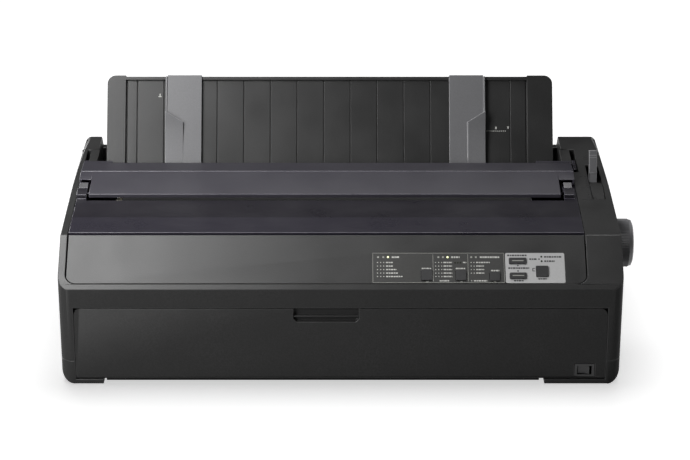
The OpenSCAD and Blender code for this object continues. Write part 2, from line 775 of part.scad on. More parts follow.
module panel_overlay() {
  in_frame() color(black) on_panel() difference() {
    translate([0, 0, -label_t]) linear_extrude(label_t)
      round_rect(overlay[0], overlay[1], overlay[2], overlay[3], 2, 2);
    for (k = keys) key_hole(k, key_gap);
    lens_holes();
  }
}

module button_plate() {
  in_frame() color(silver) on_panel() difference() {
    translate([0, 0, -label_t]) linear_extrude(label_t)
      round_rect(plate[0], plate[1], plate[2], plate[3], 2, 2);
    for (k = keys) key_hole(k, key_gap);
    lens_holes();
  }
}

module indicator_lenses() {
  in_frame() color([0.75, 0.8, 0.3]) on_panel()
    for (p = lenses) translate([p.x, p.y, -3]) cylinder(r = lens_r, h = 3.2);
}

module control_board() {
  in_frame() color(board_green) on_panel() {
    block(overlay[0] - 7, plate[1] + 6.5, 2.8, 36.6, board_z - board_t, board_z);
    for (k = keys)
      translate([(k[0] + k[1]) / 2, (k[2] + k[3]) / 2, board_z - 0.5])
        cylinder(r = 2.4, h = key_flange_z - 1 - button_travel - 0.15 - board_z + 0.5);
    for (p = lenses) translate([p.x, p.y, board_z - 0.5]) cylinder(r = 0.8, h = -3 - board_z + 0.5);
    block(overlay[0] + 26, overlay[0] + 50, 14, 30, board_z - board_t - 3, board_z - board_t + 0.5);
  }
}

module key(k) {
  in_frame() color(black) on_panel() {
    translate([0, 0, key_flange_z - 0.5]) linear_extrude(key_proud + 0.5 - key_flange_z)
      round_rect(k[0], k[1], k[2], k[3], 1, 1);
    translate([0, 0, key_flange_z - 1]) linear_extrude(1)
      round_rect(k[0] - 1.2, k[1] + 1.2, k[2] - 1.2, k[3] + 1.2, 1, 1);
  }
}
module button_font() { key(font_key); }
module button_pitch() { key(pitch_key); }
module button_tear_off() { key(tear_off_key); }
module button_load() { key(load_key); }
module button_line_feed() { key(line_feed_key); }
module button_pause() { key(pause_key); }

// ---------------------------------------------------------------- frame

bush_r = 7;
bush_flange_r = 9;
bush_flange_t = 2;
shelf_z = platen_z - 1.5;
cart_l = frame_l + 21;
cart_r = frame_r - 21;
motor_size = 42;
motor_boss_r = 10.5;
motor_shaft_r = 2.5;
pinch_r = 6;
pinch_shaft_r = 2.5;
pinch_axis = platen_axis + (platen_r + pinch_r + gap) * [cos(-62), sin(-62)];
front_rod_axis = [rod_y - 24, rod_z - 8];
front_rod_r = 3;
rod_axis = [rod_y, rod_z];
support_axis = [support_y, support_z];
gap_lever_x = frame_l + 3.5;
gap_lever_w = 5;
gap_lever_len = 54;
gap_lever_lean = 12;

frame_pts = [
  [frame_front, plate_z], [frame_back, plate_z],
  [frame_back, tractor_z + 12], [tractor_y - 14, tractor_z + 14],
  [platen_y + 24, platen_z + 18], [platen_y - 20, platen_z + 18], [rod_y - 2, platen_z + 12],
  [rod_y - 22, rod_z + 24], [frame_front, rod_z + 6]
];

module side_frame(x) {
  difference() {
    union() {
      along_x(x, x + plate_t) polygon(frame_pts);
      children();
    }
    rod_x(x - eps, x + plate_t + eps, platen_axis, bush_r);
    rod_x(x - eps, x + plate_t + eps, tractor_axis, bush_r);
    rod_x(x - eps, x + plate_t + eps, rod_axis, rod_r);
    rod_x(x - eps, x + plate_t + eps, front_rod_axis, front_rod_r);
    rod_x(x - eps, x + plate_t + eps, support_axis, support_r);
    rod_x(x - eps, x + plate_t + eps, pinch_axis, pinch_shaft_r + fit);
    along_x(x - eps, x + plate_t + eps)
      round_rect(200, 250, 28, 70, 6, 6);
  }
}

module side_frame_left() {
  in_frame() color(steel) difference() {
    side_frame(frame_l) {
      block(frame_l, frame_l + 12, frame_front, frame_back, plate_z, plate_z + plate_t);
      for (axis = [reduction_axis, front_transfer_axis, rear_transfer_axis]) stub_axle(axis);
    }
    rod_x(frame_l - eps, frame_l + plate_t + eps, pinion_axis, motor_boss_r);
    for (p = base_post) translate([p.x, p.y, plate_z - eps]) cylinder(r = screw_head_r + 1, h = 6);
  }
}

module side_frame_right() {
  in_frame() color(steel) difference() {
    side_frame(frame_r - plate_t) {
      block(frame_r - 12, frame_r, frame_front, frame_back, plate_z, plate_z + plate_t);
      rod_x(frame_r - plate_t, frame_r + 16, lever_axis, 8);
    }
    rod_x(frame_r - 15, frame_r + 17, lever_axis, lever_shaft_r + fit);
  }
}

module base_plate() {
  in_frame() color(steel) difference() {
    block(frame_l - 8, frame_r + 8, frame_front - 4, frame_back + 8, plate_z - base_t, plate_z);
    for (p = base_post) translate([p.x, p.y, 0]) cylinder(r = screw_r, h = 20);
    for (x = [frame_l + 107 : 60 : frame_r - 135])
      block(x, x + 40, 60, 110, 0, 20);
  }
}

module guide_rods() {
  in_frame() color(steel) {
    rod_x(frame_l - 3, frame_r + 3, rod_axis, rod_r);
    rod_x(frame_l - 3, frame_r + 3, front_rod_axis, front_rod_r);
    rod_x(frame_l - 3, frame_r + 3, support_axis, support_r);
  }
}

module carriage_frame() {
  in_frame() color(steel) difference() {
    union() {
      for (b = [[tray_back_y, tray_t], [tray_front_y + tray_t, 14]])
        block(frame_l + plate_t, frame_r - plate_t, tray_front_y, b[0], tray_z, tray_z + b[1]);
      translate([idler_pulley_x, belt_y, tray_z]) cylinder(r = 3, h = belt_z + belt_h + 1 - tray_z);
      translate([idler_pulley_x, belt_y, tray_z]) cylinder(r = 5, h = belt_z - 1.4 - tray_z);
      // brackets that the ribbon cartridge rests on
      for (x = [cart_l, cart_r - plate_t])
        block(x, x + plate_t, belt_y - pulley_r + 1, belt_y + pulley_r - 1, tray_z, shelf_z);
    }
    translate([motor_pulley_x, belt_y, tray_z - eps]) cylinder(r = motor_boss_r, h = 10);
    for (x = [frame_l + 137 : 50 : frame_r - 95])
      block(x, x + 30, rod_y - 8, rod_y + 6, tray_z - eps, tray_z + 10);
  }
}

module carriage_belt() {
  in_frame() color(rubber) translate([0, belt_y, belt_z]) linear_extrude(belt_h) difference() {
    union() {
      for (x = [motor_pulley_x, idler_pulley_x]) translate([x, 0]) circle(r = pulley_r + belt_t);
      translate([motor_pulley_x, -pulley_r - belt_t])
        square([idler_pulley_x - motor_pulley_x, 2 * (pulley_r + belt_t)]);
    }
    for (x = [motor_pulley_x, idler_pulley_x]) translate([x, 0]) circle(r = pulley_r);
    translate([motor_pulley_x, -pulley_r]) square([idler_pulley_x - motor_pulley_x, 2 * pulley_r]);
  }
}

module belt_pulley(x) {
  translate([x, belt_y, 0]) {
    translate([0, 0, belt_z - 0.5]) cylinder(r = pulley_r - gap, h = belt_h + 0.8);
    translate([0, 0, belt_z - 1]) cylinder(r = pulley_r + 1.6, h = 0.6);
  }
}

module motor_pulley() {
  in_frame() color(silver) {
    belt_pulley(motor_pulley_x);
    translate([motor_pulley_x, belt_y, tray_z - 30])
      cylinder(r = motor_shaft_r, h = belt_z + belt_h - tray_z + 30);
  }
}

module idler_pulley() {
  in_frame() color(silver) difference() {
    belt_pulley(idler_pulley_x);
    translate([idler_pulley_x, belt_y, 0]) cylinder(r = 3 + fit, h = 200);
  }
}

module motor_body() {
  // The shaft's bore runs down its middle; the mounting face is at z = 0.
  difference() {
    union() {
      translate([0, 0, -34]) linear_extrude(34) difference() {
        square(motor_size, center = true);
        for (k = [0 : 3])
          rotate(45 + 90 * k) translate([motor_size * 0.66, 0]) square([8, 20], center = true);
      }
      cylinder(r = motor_boss_r, h = 1.6);
    }
    translate([0, 0, -32]) cylinder(r = motor_shaft_r + fit, h = 40);
  }
}

module stepper_motors() {
  in_frame() color(black) {
    translate([motor_pulley_x, belt_y, tray_z]) motor_body();
    translate([frame_l + plate_t, pinion_axis.x, pinion_axis.y]) rotate([0, -90, 0]) motor_body();
  }
}

module paper_chute() {
  in_frame() color(black) {
    along_x(frame_l + plate_t, frame_r - plate_t) polygon(concat(
      arc(platen_axis, platen_r + 1, 215, 270, 6), arc(platen_axis, platen_r + 2.5, 270, 215, 6)
    ));
    along_x(frame_l + plate_t, frame_r - plate_t) polygon(strip([
      [platen_y + 18, platen_z - 13], [platen_y + 80, platen_z - 5], [slot_y - 10, cover_line(slot_y) - 24]
    ], 1.5));
  }
}

module front_paper_ramp() {
  ramp = [[bulkhead_y + wall + gap, 54], [tray_back_y - 2, tray_z - 9], [tray_back_y + 17, tray_z + 14]];
  in_frame() color(black) {
    along_x(frame_l + 56, frame_r - 12) polygon(strip(ramp, 1.5));
    for (x = [frame_l + 107, mech_x + 16, frame_r - 75]) block(x, x + 8, 30, 32, plate_z, 55.4);
  }
}

module shaft_bushes() {
  // flange_x is where the flange starts, on the inner side of the frame plate
  module bush(x, flange_x, axis, shaft_r) {
    difference() {
      union() {
        rod_x(x, x + plate_t, axis, bush_r);
        rod_x(flange_x, flange_x + bush_flange_t, axis, bush_flange_r);
      }
      rod_x(x - 5, x + 8, axis, shaft_r + fit);
    }
  }
  in_frame() color(cream)
    for (s = [[platen_axis, platen_shaft_r], [tractor_axis, tractor_shaft_r]]) {
      bush(frame_l, frame_l + plate_t, s[0], s[1]);
      bush(frame_r - plate_t, frame_r - plate_t - bush_flange_t, s[0], s[1]);
    }
}

main_l = frame_l + 57;
main_r = frame_r - 135;
main_y = 150;
main_top = port_z - 9;
module main_board() {
  in_frame() color(board_green) {
    block(main_l, main_r, main_y, body_d - 12, main_top - board_t, main_top);
    // posts down to the base plate
    for (x = [main_l + 10, main_r - 10])
      for (y = [main_y + 10, body_d - 60])
        translate([x, y, plate_z]) cylinder(r = 3, h = main_top - board_t / 2 - plate_z);
    // two chips, a heat sink and two capacitors
    block(main_l + 50, main_l + 90, main_y + 40, main_y + 80, main_top - 0.5, main_top + 3);
    block(main_l + 140, main_l + 170, main_y + 50, main_y + 80, main_top - 0.5, main_top + 3);
    block(main_l + 210, main_l + 260, main_y + 30, main_y + 50, main_top - 0.5, main_top + 15);
    for (x = [main_l + 110, main_l + 126])
      translate([x, main_y + 110, main_top - 0.5]) cylinder(r = 6, h = 20);
  }
}

psu_x = frame_r - 117;
psu_y = main_y + 5;
psu_w = 104;
psu_len = 128;
psu_top = 62;
psu_t = 2;
module power_supply() {
  in_frame() color(steel) {
    difference() {
      block(psu_x, psu_x + psu_w, psu_y, psu_y + psu_len, plate_z, psu_top);
      block(
        psu_x + psu_t, psu_x + psu_w - psu_t, psu_y + psu_t, psu_y + psu_len - psu_t,
        plate_z + psu_t, psu_top + eps
      );
    }
    // transformer and heat sinks
    block(psu_x + 14, psu_x + 54, psu_y + 20, psu_y + 60, plate_z + 1, psu_top - 10);
    for (y = [psu_y + 73 : 17 : psu_y + 107])
      block(psu_x + 24, psu_x + 84, y, y + 3, plate_z + 1, psu_top - 14);
  }
}

module rear_connectors() {
  in_frame() {
    color(black) difference() {
      block(inlet_x - 13.8, inlet_x + 13.8, body_d - 30, body_d, inlet_z - 11.8, inlet_z + 11.8);
      block(inlet_x - 12, inlet_x + 12, body_d - 17, body_d + eps, inlet_z - 8, inlet_z + 8);
    }
    color(steel)
      for (p = [[-7, 2], [0, -3], [7, 2]])
        translate([inlet_x + p.x, body_d - 18, inlet_z + p.y]) block(-1, 1, 0, 10, -2, 2);
    color(steel) difference() {
      block(port_x - 37, port_x + 37, body_d - 16, body_d, main_top, port_z + 8.4);
      block(port_x - 31, port_x + 31, body_d - 10, body_d + eps, port_z - 5, port_z + 5);
    }
    color(black) block(port_x - 26, port_x + 26, body_d - 11, body_d - 2, port_z - 1.8, port_z + 1.8);
    color(steel) difference() {
      block(usb_x - 6.5, usb_x + 6.5, body_d - 17, body_d, main_top, port_z + 3);
      block(usb_x - 5, usb_x + 5, body_d - 12, body_d + eps, port_z - 7, port_z + 1.6);
    }
  }
}

// ---------------------------------------------------------------- paper feed

module platen_roller() {
  in_frame() color(rubber) difference() {
    rod_x(platen_l, platen_end, platen_axis, platen_r);
    rod_x(platen_l - eps, platen_end + eps, platen_axis, platen_shaft_r);
  }
}

module platen_shaft() {
  in_frame() color(steel) rod_x(gear_x - 3, half_w + knob_proud - 5, platen_axis, platen_shaft_r);
}

module paper_feed_knob() {
  flutes = 36;
  in_frame() color(light_grey) translate([0, platen_y, platen_z]) rotate([0, 90, 0]) difference() {
    intersection() {
      rotate_extrude() polygon([
        [0, half_w - 3], [11, half_w - 3], [11, half_w + 0.8], [knob_r, half_w + 0.8],
        [knob_r, half_w + knob_proud - 5], [knob_r - 1.5, half_w + knob_proud - 1.5],
        [knob_r - 5, half_w + knob_proud], [0, half_w + knob_proud]
      ]);
      union() {
        translate([0, 0, half_w - 4]) cylinder(r = 11, h = 10);
        translate([0, 0, half_w]) linear_extrude(knob_proud) difference() {
          circle(r = knob_r);
          for (k = [0 : flutes - 1]) rotate(k * 360 / flutes) translate([knob_r + 0.7, 0]) circle(r = 1.4);
        }
      }
    }
    cylinder(r = platen_shaft_r, h = half_w + knob_proud - 5);
  }
}

module platen_gear() {
  in_frame() color(cream) train_gear(platen_axis, platen_teeth, platen_phase, platen_shaft_r);
}
module reduction_gear() {
  in_frame() color(cream) train_gear(reduction_axis, reduction_teeth, reduction_phase, stub_r + fit);
}
module transfer_gear_front() {
  in_frame() color(cream)
    train_gear(front_transfer_axis, transfer_teeth, front_transfer_phase, stub_r + fit);
}
module transfer_gear_rear() {
  in_frame() color(cream)
    train_gear(rear_transfer_axis, transfer_teeth, rear_transfer_phase, stub_r + fit);
}
module tractor_gear() {
  in_frame() color(cream) train_gear(tractor_axis, tractor_teeth, tractor_phase, tractor_shaft_r);
}
module feed_motor_pinion() {
  in_frame() color(silver) {
    along_x(gear_x, gear_x + gear_w)
      translate(pinion_axis) rotate(pinion_phase) gear_shape(pinion_teeth);
    rod_x(gear_x, frame_l + 30, pinion_axis, motor_shaft_r);
  }
}

module pinch_rollers() {
  in_frame() {
    color(steel) rod_x(frame_l - 1, frame_r + 1, pinch_axis, pinch_shaft_r);
    color(rubber)
      for (x = [platen_l + 20 : 84 : platen_end - 40])
        difference() {
          rod_x(x, x + 26, pinch_axis, pinch_r);
          rod_x(x - eps, x + 27, pinch_axis, pinch_shaft_r);
        }
  }
}

module tractor_drive_shaft() {
  in_frame() color(steel) rod_x(gear_x - 2, frame_r + 3, tractor_axis, tractor_shaft_r);
}

tractor_top_z = tractor_z + 12;
module tractor(x) {
  in_frame() color(black) difference() {
    union() {
      along_x(x, x + tractor_w) polygon([
        [tractor_y - 16, tractor_z - 10], [tractor_y - 6, tractor_z - 15], [support_y + 9, support_z - 12],
        [support_y + 10, support_z + 8], [support_y + 2, tractor_top_z - 1], [tractor_y - 13, tractor_top_z - 1]
      ]);
      for (y = [tractor_y - 8 : 12.7 : tractor_y + 22])
        translate([x + tractor_w / 2, y, tractor_top_z - 1.5]) cylinder(r = 1.9, h = 2.6);
    }
    rod_x(x - eps, x + tractor_w + eps, tractor_axis, tractor_shaft_r + fit);
    rod_x(x - eps, x + tractor_w + eps, support_axis, support_r + fit);
  }
}
module tractor_left() { tractor(tractor_left_x); }
module tractor_right() { tractor(tractor_right_x); }

// A clear flap over the pins. Its hinge pins run along Y at one edge.
tractor_hinge_z = tractor_top_z + 2.4;
module tractor_cover(x, side) {
  // side is -1 where the hinge is at the left edge, 1 where it is at the right edge
  hinge_x = side < 0 ? x + 2 : x + tractor_w - 2;
  in_frame() color(smoked) difference() {
    union() {
      block(x + 1, x + tractor_w - 1, tractor_y - 12, support_y, tractor_top_z + 1.6, tractor_top_z + 3.4);
      rod_y_at(tractor_y - 12, support_y, hinge_x, tractor_hinge_z, 1.8);
    }
    block(x + tractor_w / 2 - 2.6, x + tractor_w / 2 + 2.6, tractor_y - 11, tractor_y + 23, 0, 200);
  }
}
module tractor_left_cover() { tractor_cover(tractor_left_x, -1); }
module tractor_right_cover() { tractor_cover(tractor_right_x, 1); }

// ---------------------------------------------------------------- carriage and ribbon

head_nose_y = platen_y - platen_r - 1.3;
ribbon_y = head_nose_y + 0.3;
ribbon_h = 13;
carriage_top = head_z - 14.5;
carriage_bottom = belt_z + belt_h + 1;

module carriage() {
  x0 = carriage_x - carriage_w / 2;
  x1 = carriage_x + carriage_w / 2;
  in_frame() color(black) difference() {
    union() {
      block(x0, x1, rod_y - 30, rod_y + 21, carriage_bottom, carriage_top);
      // clamp round the belt's front run
      block(
        carriage_x - 12, carriage_x + 12, belt_y - pulley_r - 3, belt_y - pulley_r + 2.4,
        belt_z - 1.6, carriage_bottom + 1
      );
    }
    rod_x(x0 - eps, x1 + eps, rod_axis, rod_r + fit);
    rod_x(x0 - eps, x1 + eps, front_rod_axis, front_rod_r + gap);
    // the fork that slides along the front rod
    block(
      x0 - eps, x1 + eps, rod_y - 31, front_rod_axis.x,
      front_rod_axis.y - front_rod_r - gap, front_rod_axis.y + front_rod_r + gap
    );
    block(
      carriage_x - 13, carriage_x + 13, belt_y - pulley_r - belt_t - gap, belt_y - pulley_r + gap,
      belt_z - 0.4, belt_z + belt_h + gap
    );
    block(x0 + 6, x1 - 6, rod_y + 10, rod_y + 22, carriage_bottom - eps, carriage_top - 6);
    block(x0 + 6, x1 - 6, rod_y - 31, rod_y - 12, front_rod_axis.y + 8, carriage_top + eps);
  }
}

module print_head() {
  in_frame() color([0.32, 0.32, 0.34]) {
    for (y = [rod_y - 2 : 4 : rod_y + 12])
      block(carriage_x - 18, carriage_x + 18, y, y + 2.2, head_z - 14, head_z + 14);
    block(carriage_x - 15, carriage_x + 15, rod_y - 2, rod_y + 20, head_z - 14.5, head_z + 11);
    along_y(rod_y + 19, head_nose_y) round_rect(carriage_x - 5, carriage_x + 5, head_z - 7, head_z + 7, 2, 2);
  }
}

module ribbon_cartridge() {
  in_frame() {
    color(black) difference() {
      union() {
        block(cart_l, cart_r, rod_y - 22, rod_y - 4, shelf_z, shelf_z + 15);
        for (x = [cart_l, cart_r - 8]) block(x, x + 8, rod_y - 5, ribbon_y, head_z - 8, head_z + 8);
      }
      translate([cart_l + 20, rod_y - 13, shelf_z + 8]) cylinder(r = 2.4 + fit, h = 20);
      for (x = [cart_l + 60 : 60 : cart_r - 60])
        block(x, x + 40, rod_y - 19, rod_y - 7, shelf_z + 14, shelf_z + 20);
    }
    color([0.05, 0.05, 0.06])
      block(cart_l + 4, cart_r - 4, ribbon_y, ribbon_y + 0.3, head_z - ribbon_h / 2, head_z + ribbon_h / 2);
  }
}

module ribbon_knob() {
  in_frame() color(light_grey) translate([cart_l + 20, rod_y - 13, 0]) {
    translate([0, 0, shelf_z + 9]) cylinder(r = 2.4, h = 8);
    translate([0, 0, shelf_z + 15 + gap]) linear_extrude(7) difference() {
      circle(r = 8);
      for (k = [0 : 11]) rotate(k * 30) translate([8.6, 0]) circle(r = 1.4);
    }
  }
}

module head_gap_lever() {
  in_frame() color(light_grey) difference() {
    union() {
      rod_x(gap_lever_x, gap_lever_x + gap_lever_w, rod_axis, rod_r + 4);
      translate([0, rod_y, rod_z]) rotate([gap_lever_lean, 0, 0]) {
        block(gap_lever_x, gap_lever_x + gap_lever_w, -3.5, 3.5, rod_r, gap_lever_len - 4);
        block(
          gap_lever_x - 1, gap_lever_x + gap_lever_w + 3, -4.5, 4.5,
          gap_lever_len - 10, gap_lever_len
        );
      }
    }
    rod_x(gap_lever_x - eps, gap_lever_x + gap_lever_w + eps, rod_axis, rod_r + fit);
  }
}

// ---------------------------------------------------------------- release lever

lever_len = 95;
shield_r = 56.5;

module release_lever() {
  in_frame() color(light_grey) {
    translate([0, lever_axis.x, lever_axis.y]) {
      rotate([-lever_angle, 0, 0]) {
        block(lever_x - lever_w / 2, lever_x + lever_w / 2, -3.5, 3.5, 0, lever_len);
        block(lever_x - lever_w / 2, lever_x + lever_w / 2, -4.6, 4.6, lever_len - 26, lever_len);
      }
      // the curved shield that closes the slot below the lever
      rotate([0, 90, 0]) translate([0, 0, lever_slot_l + gap])
        linear_extrude(lever_slot_r - lever_slot_l - 2 * gap)
          polygon(concat(
            arc([0, 0], shield_r + 1, 180 - 40, 180 + 31, 8),
            arc([0, 0], shield_r - 1, 180 + 31, 180 - 40, 8)
          ));
    }
    rod_x(lever_x - lever_w / 2 - 3, lever_x + lever_w / 2, lever_axis, 8);
    rod_x(frame_r - 4, lever_x, lever_axis, lever_shaft_r);
  }
}

// ---------------------------------------------------------------- covers

arm_end_y = slot_y - 8;
function on_cover(y, rise = 0) = [y, cover_line(y) + rise];

module printer_cover() {
  x0 = lid_l + seam;
  x1 = lid_r - seam;
  in_frame() color(smoked) difference() {
    union() {
      // smoked plate with its front and side skirts
      along_x(x0, x1) polygon([
        on_cover(lid_front_y), on_cover(lid_front_y, -5), on_cover(lid_front_y + cover_t, -5),
        on_cover(lid_front_y + cover_t, -cover_t), on_cover(exit_front_y, -cover_t), on_cover(exit_front_y)
      ]);
      for (x = [[x0, x0 + block_l_w], [x1 - block_r_w, x1]]) {
        // arms that run back to the hinges
        along_x(x[0], x[1]) polygon([
          on_cover(exit_front_y - 2, -cover_t), on_cover(arm_end_y, -cover_t),
          on_cover(arm_end_y), on_cover(exit_front_y - 2)
        ]);
        // blocks that carry the hinge pins of the paper guide cover
        along_x(x[0], x[1] - (x[1] > 0 ? 3 : 0)) polygon([
          on_cover(band_front_y, -1), on_cover(block_back_y, -1),
          on_cover(block_back_y, 5.4), on_cover(block_back_y - 6, 6), on_cover(band_front_y, 5)
        ]);
        // and the stops behind them, with a sloping top
        along_x(x[0] + 1, x[1] - (x[1] > 0 ? 4 : 0)) polygon([
          on_cover(block_back_y + 1.5, -1), on_cover(flap_notch_y - 1.6, -1),
          on_cover(flap_notch_y - 1.6, 4.4), on_cover(flap_notch_y - 5, 7), on_cover(block_back_y + 1.5, 4.6)
        ]);
      }
      for (x = [x0, x1 - cover_t])
        along_x(x, x + cover_t) polygon([
          on_cover(lid_front_y, -6), on_cover(arm_end_y, -7),
          on_cover(arm_end_y, -1), on_cover(lid_front_y, -1)
        ]);
      // hinge lugs and their pins
      cover_lug(x0, x0 + cover_lug_w);
      cover_lug(lid_r + slit_gap, lid_r + slit_gap + cover_lug_w);
      block(x1 - 6, lid_r + slit_gap + 1, arm_end_y - 12, arm_end_y, cover_axis.y - 4, cover_axis.y);
      rod_x(x0 + cover_lug_w - eps, lid_l + slit_l_w + 3, cover_axis, cover_pin_r);
      rod_x(slit_r - slit_r_w - 3, lid_r + slit_gap + eps, cover_axis, cover_pin_r);
    }
    for (x = [flap_l - 8, flap_r - 1])
      rod_x(x, x + 9, flap_axis, flap_pin_r + fit);
  }
}

slit_gap = 3;
module cover_lug(xa, xb) {
  along_x(xa, xb) union() {
    translate(cover_axis) circle(r = 4.2);
    polygon([
      [arm_end_y - 12, cover_axis.y - 4.2], [cover_axis.x, cover_axis.y - 4.2],
      [cover_axis.x, cover_axis.y + 4.2], [arm_end_y - 12, cover_axis.y + 3]
    ]);
  }
}

module paper_guide_cover() {
  x0 = lid_l + seam;
  x1 = lid_r - seam;
  top = [on_cover(band_front_y, band_rise), [ridge_y, ridge_z], [flap_back_y, ridge_z]];
  notch_z = band_rise + (flap_notch_y - band_front_y) * (ridge_rise - band_rise) / (ridge_y - band_front_y);
  top_back = [on_cover(flap_notch_y, notch_z), [ridge_y, ridge_z], [flap_back_y, ridge_z]];
  in_frame() color(smoked) {
    along_x(flap_l, flap_r) {
      polygon(strip(top, cover_t));
      polygon([
        on_cover(band_front_y, band_rise), on_cover(band_front_y, 1.2), on_cover(band_front_y + 2, 1.2),
        on_cover(band_front_y + 2, band_rise - 1)
      ]);
      polygon([
        [flap_back_y - 2, ridge_z - 1], [flap_back_y - 2, ridge_z - 5],
        [flap_back_y, ridge_z - 5], [flap_back_y, ridge_z]
      ]);
    }
    along_x(x0, x1) polygon(strip(top_back, cover_t));
    for (x = [[x0, flap_lug_l], [flap_lug_r, x1]])
      block(x[0], x[1], flap_back_y - 4, flap_lug_y, ridge_z - 4.6, ridge_z - 0.6);
    // side walls of the raised part
    for (x = [x0, x1 - 2])
      along_x(x, x + 2) polygon([
        on_cover(flap_notch_y, 0.6), on_cover(flap_back_y, 0.6), [flap_back_y, ridge_z - 1],
        [ridge_y, ridge_z - 1], on_cover(flap_notch_y, notch_z - 1)
      ]);
    // hinge knuckles and pins
    for (x = [flap_l, flap_r - 5])
      along_x(x, x + 5) polygon([
        on_cover(band_front_y + 3, 0.8), on_cover(block_back_y - 1, 0.8),
        on_cover(block_back_y - 1, band_rise), on_cover(band_front_y + 3, band_rise - 1)
      ]);
    rod_x(flap_l - 7, flap_l + 2, flap_axis, flap_pin_r);
    rod_x(flap_r - 2, flap_r + 7, flap_axis, flap_pin_r);
  }
}

// ---------------------------------------------------------------- sheet guide

guide_t = 8;
guide_rail_w = 22;
guide_rim = 4;
guide_foot = 14;
sheet_l = guide_l + guide_rail_w;
sheet_r = guide_r - guide_rail_w - 8;
groove_pitch = 31.5;
edge_t = 2;
hook_t = 1.2;
fence_proud = 8;
fence_w = 21;
fence_z = [45.7, 58.3];
edge_foot = -3.3;
edge_left_x = guide_l + 71.2;
edge_right_x = guide_r - 122.3;

module sheet_guide() {
  in_frame() color(case_grey) on_guide() {
    difference() {
      // the outline with rounded upper corners
      along_y(0, guide_t) round_rect(guide_l, guide_r, -guide_foot, guide_len + 1.5, 0, 10);
      // the recessed, grooved sheet and the lower top rim between the rails
      block(sheet_l, sheet_r, -eps, 3, -guide_foot - eps, guide_len - guide_rim);
      block(sheet_l, sheet_r, 5.4, guide_t + eps, -guide_foot + 8, guide_len - guide_rim);
      block(sheet_l, sheet_r, -eps, guide_t + eps, guide_len, guide_len + 4);
      block(guide_l + 3, sheet_l - 3, 2.6, guide_t + eps, -4, guide_len - 6);
      block(sheet_r + 3, guide_r - 3, 2.6, guide_t + eps, -4, guide_len - 6);
      // narrow grooves down the sheet, and a wide one along each rail
      for (x = [guide_l + 35.3 : groove_pitch : sheet_r - 4])
        block(x - 0.4, x + 0.4, 2, 3.8, -guide_foot - eps, guide_len - guide_rim);
      for (x = [sheet_l, sheet_r - 1.8])
        block(x, x + 1.8, 2, 4.6, -guide_foot - eps, guide_len - guide_rim);
    }
    // pivot bosses and pins
    for (x = [guide_l, guide_r - 10])
      difference() {
        block(x, x + 10, guide_t - 1, guide_t + 9, -guide_foot, 2);
        block(x - eps, x + 11, guide_t + 5, guide_t + 20, -2, 5);
      }
  }
  in_frame() color(case_grey) {
    rod_x(ear_inner_l - 5, guide_l + 5, guide_axis, guide_pin_r);
    rod_x(guide_r - 5, ear_inner_r + 4.4, guide_axis, guide_pin_r);
  }
}

// fence_side is -1 where the fence stands at the plate's left edge, 1 at its right edge. Its top
// edge slants, with its higher end at the plate's outer edge.
module edge_guide(x, fence_side) {
  x1 = x + edge_guide_w;
  front = -gap - edge_t;
  back = guide_t + gap + edge_t;
  top = guide_len + gap + hook_t;
  f0 = fence_side < 0 ? x - 2 : x1 + 2 - fence_w;
  f1 = f0 + fence_w;
  fence_l_z = fence_side < 0 ? fence_z[1] : fence_z[0];
  fence_r_z = fence_side < 0 ? fence_z[0] : fence_z[1];
  in_frame() color(light_grey) on_guide() {
    // the plate, which hooks over the guide's top edge
    block(x, x1, front, front + edge_t, edge_foot, top);
    block(x, x1, front, back, top - hook_t, top);
    block(x, x1, back - edge_t, back, guide_len - 8, top);
    along_y(front - fence_proud, front + 0.5)
      polygon([[f0, edge_foot], [f1, edge_foot], [f1, fence_r_z], [f0, fence_l_z]]);
  }
}
module edge_guide_left() { edge_guide(edge_left_x, -1); }
module edge_guide_right() { edge_guide(edge_right_x, 1); }

lower_case();
upper_case();
control_panel_housing();
panel_overlay();
button_plate();
indicator_lenses();
control_board();
rubber_feet();
base_plate();
side_frame_left();
side_frame_right();
carriage_frame();
guide_rods();
paper_chute();
carriage_belt();
stepper_motors();
main_board();
power_supply();
rear_connectors();
power_switch_body();
front_paper_ramp();
shaft_bushes();
screws();
ribbon_cartridge();
platen_roller();
platen_shaft();
paper_feed_knob();
platen_gear();
reduction_gear();
transfer_gear_front();
transfer_gear_rear();
feed_motor_pinion();
pinch_rollers();
carriage();
print_head();
motor_pulley();
idler_pulley();
ribbon_knob();
tractor_drive_shaft();
tractor_gear();
tractor_left();
tractor_left_cover();
tractor_right();
tractor_right_cover();
release_lever();
head_gap_lever();
printer_cover();
paper_guide_cover();
sheet_guide();
edge_guide_left();
edge_guide_right();
front_cover();
power_rocker();
button_font();
button_pitch();
button_tear_off();
button_load();
button_line_feed();
button_pause();
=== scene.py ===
import math
import bpy
import bmesh
from mathutils import Matrix, Vector


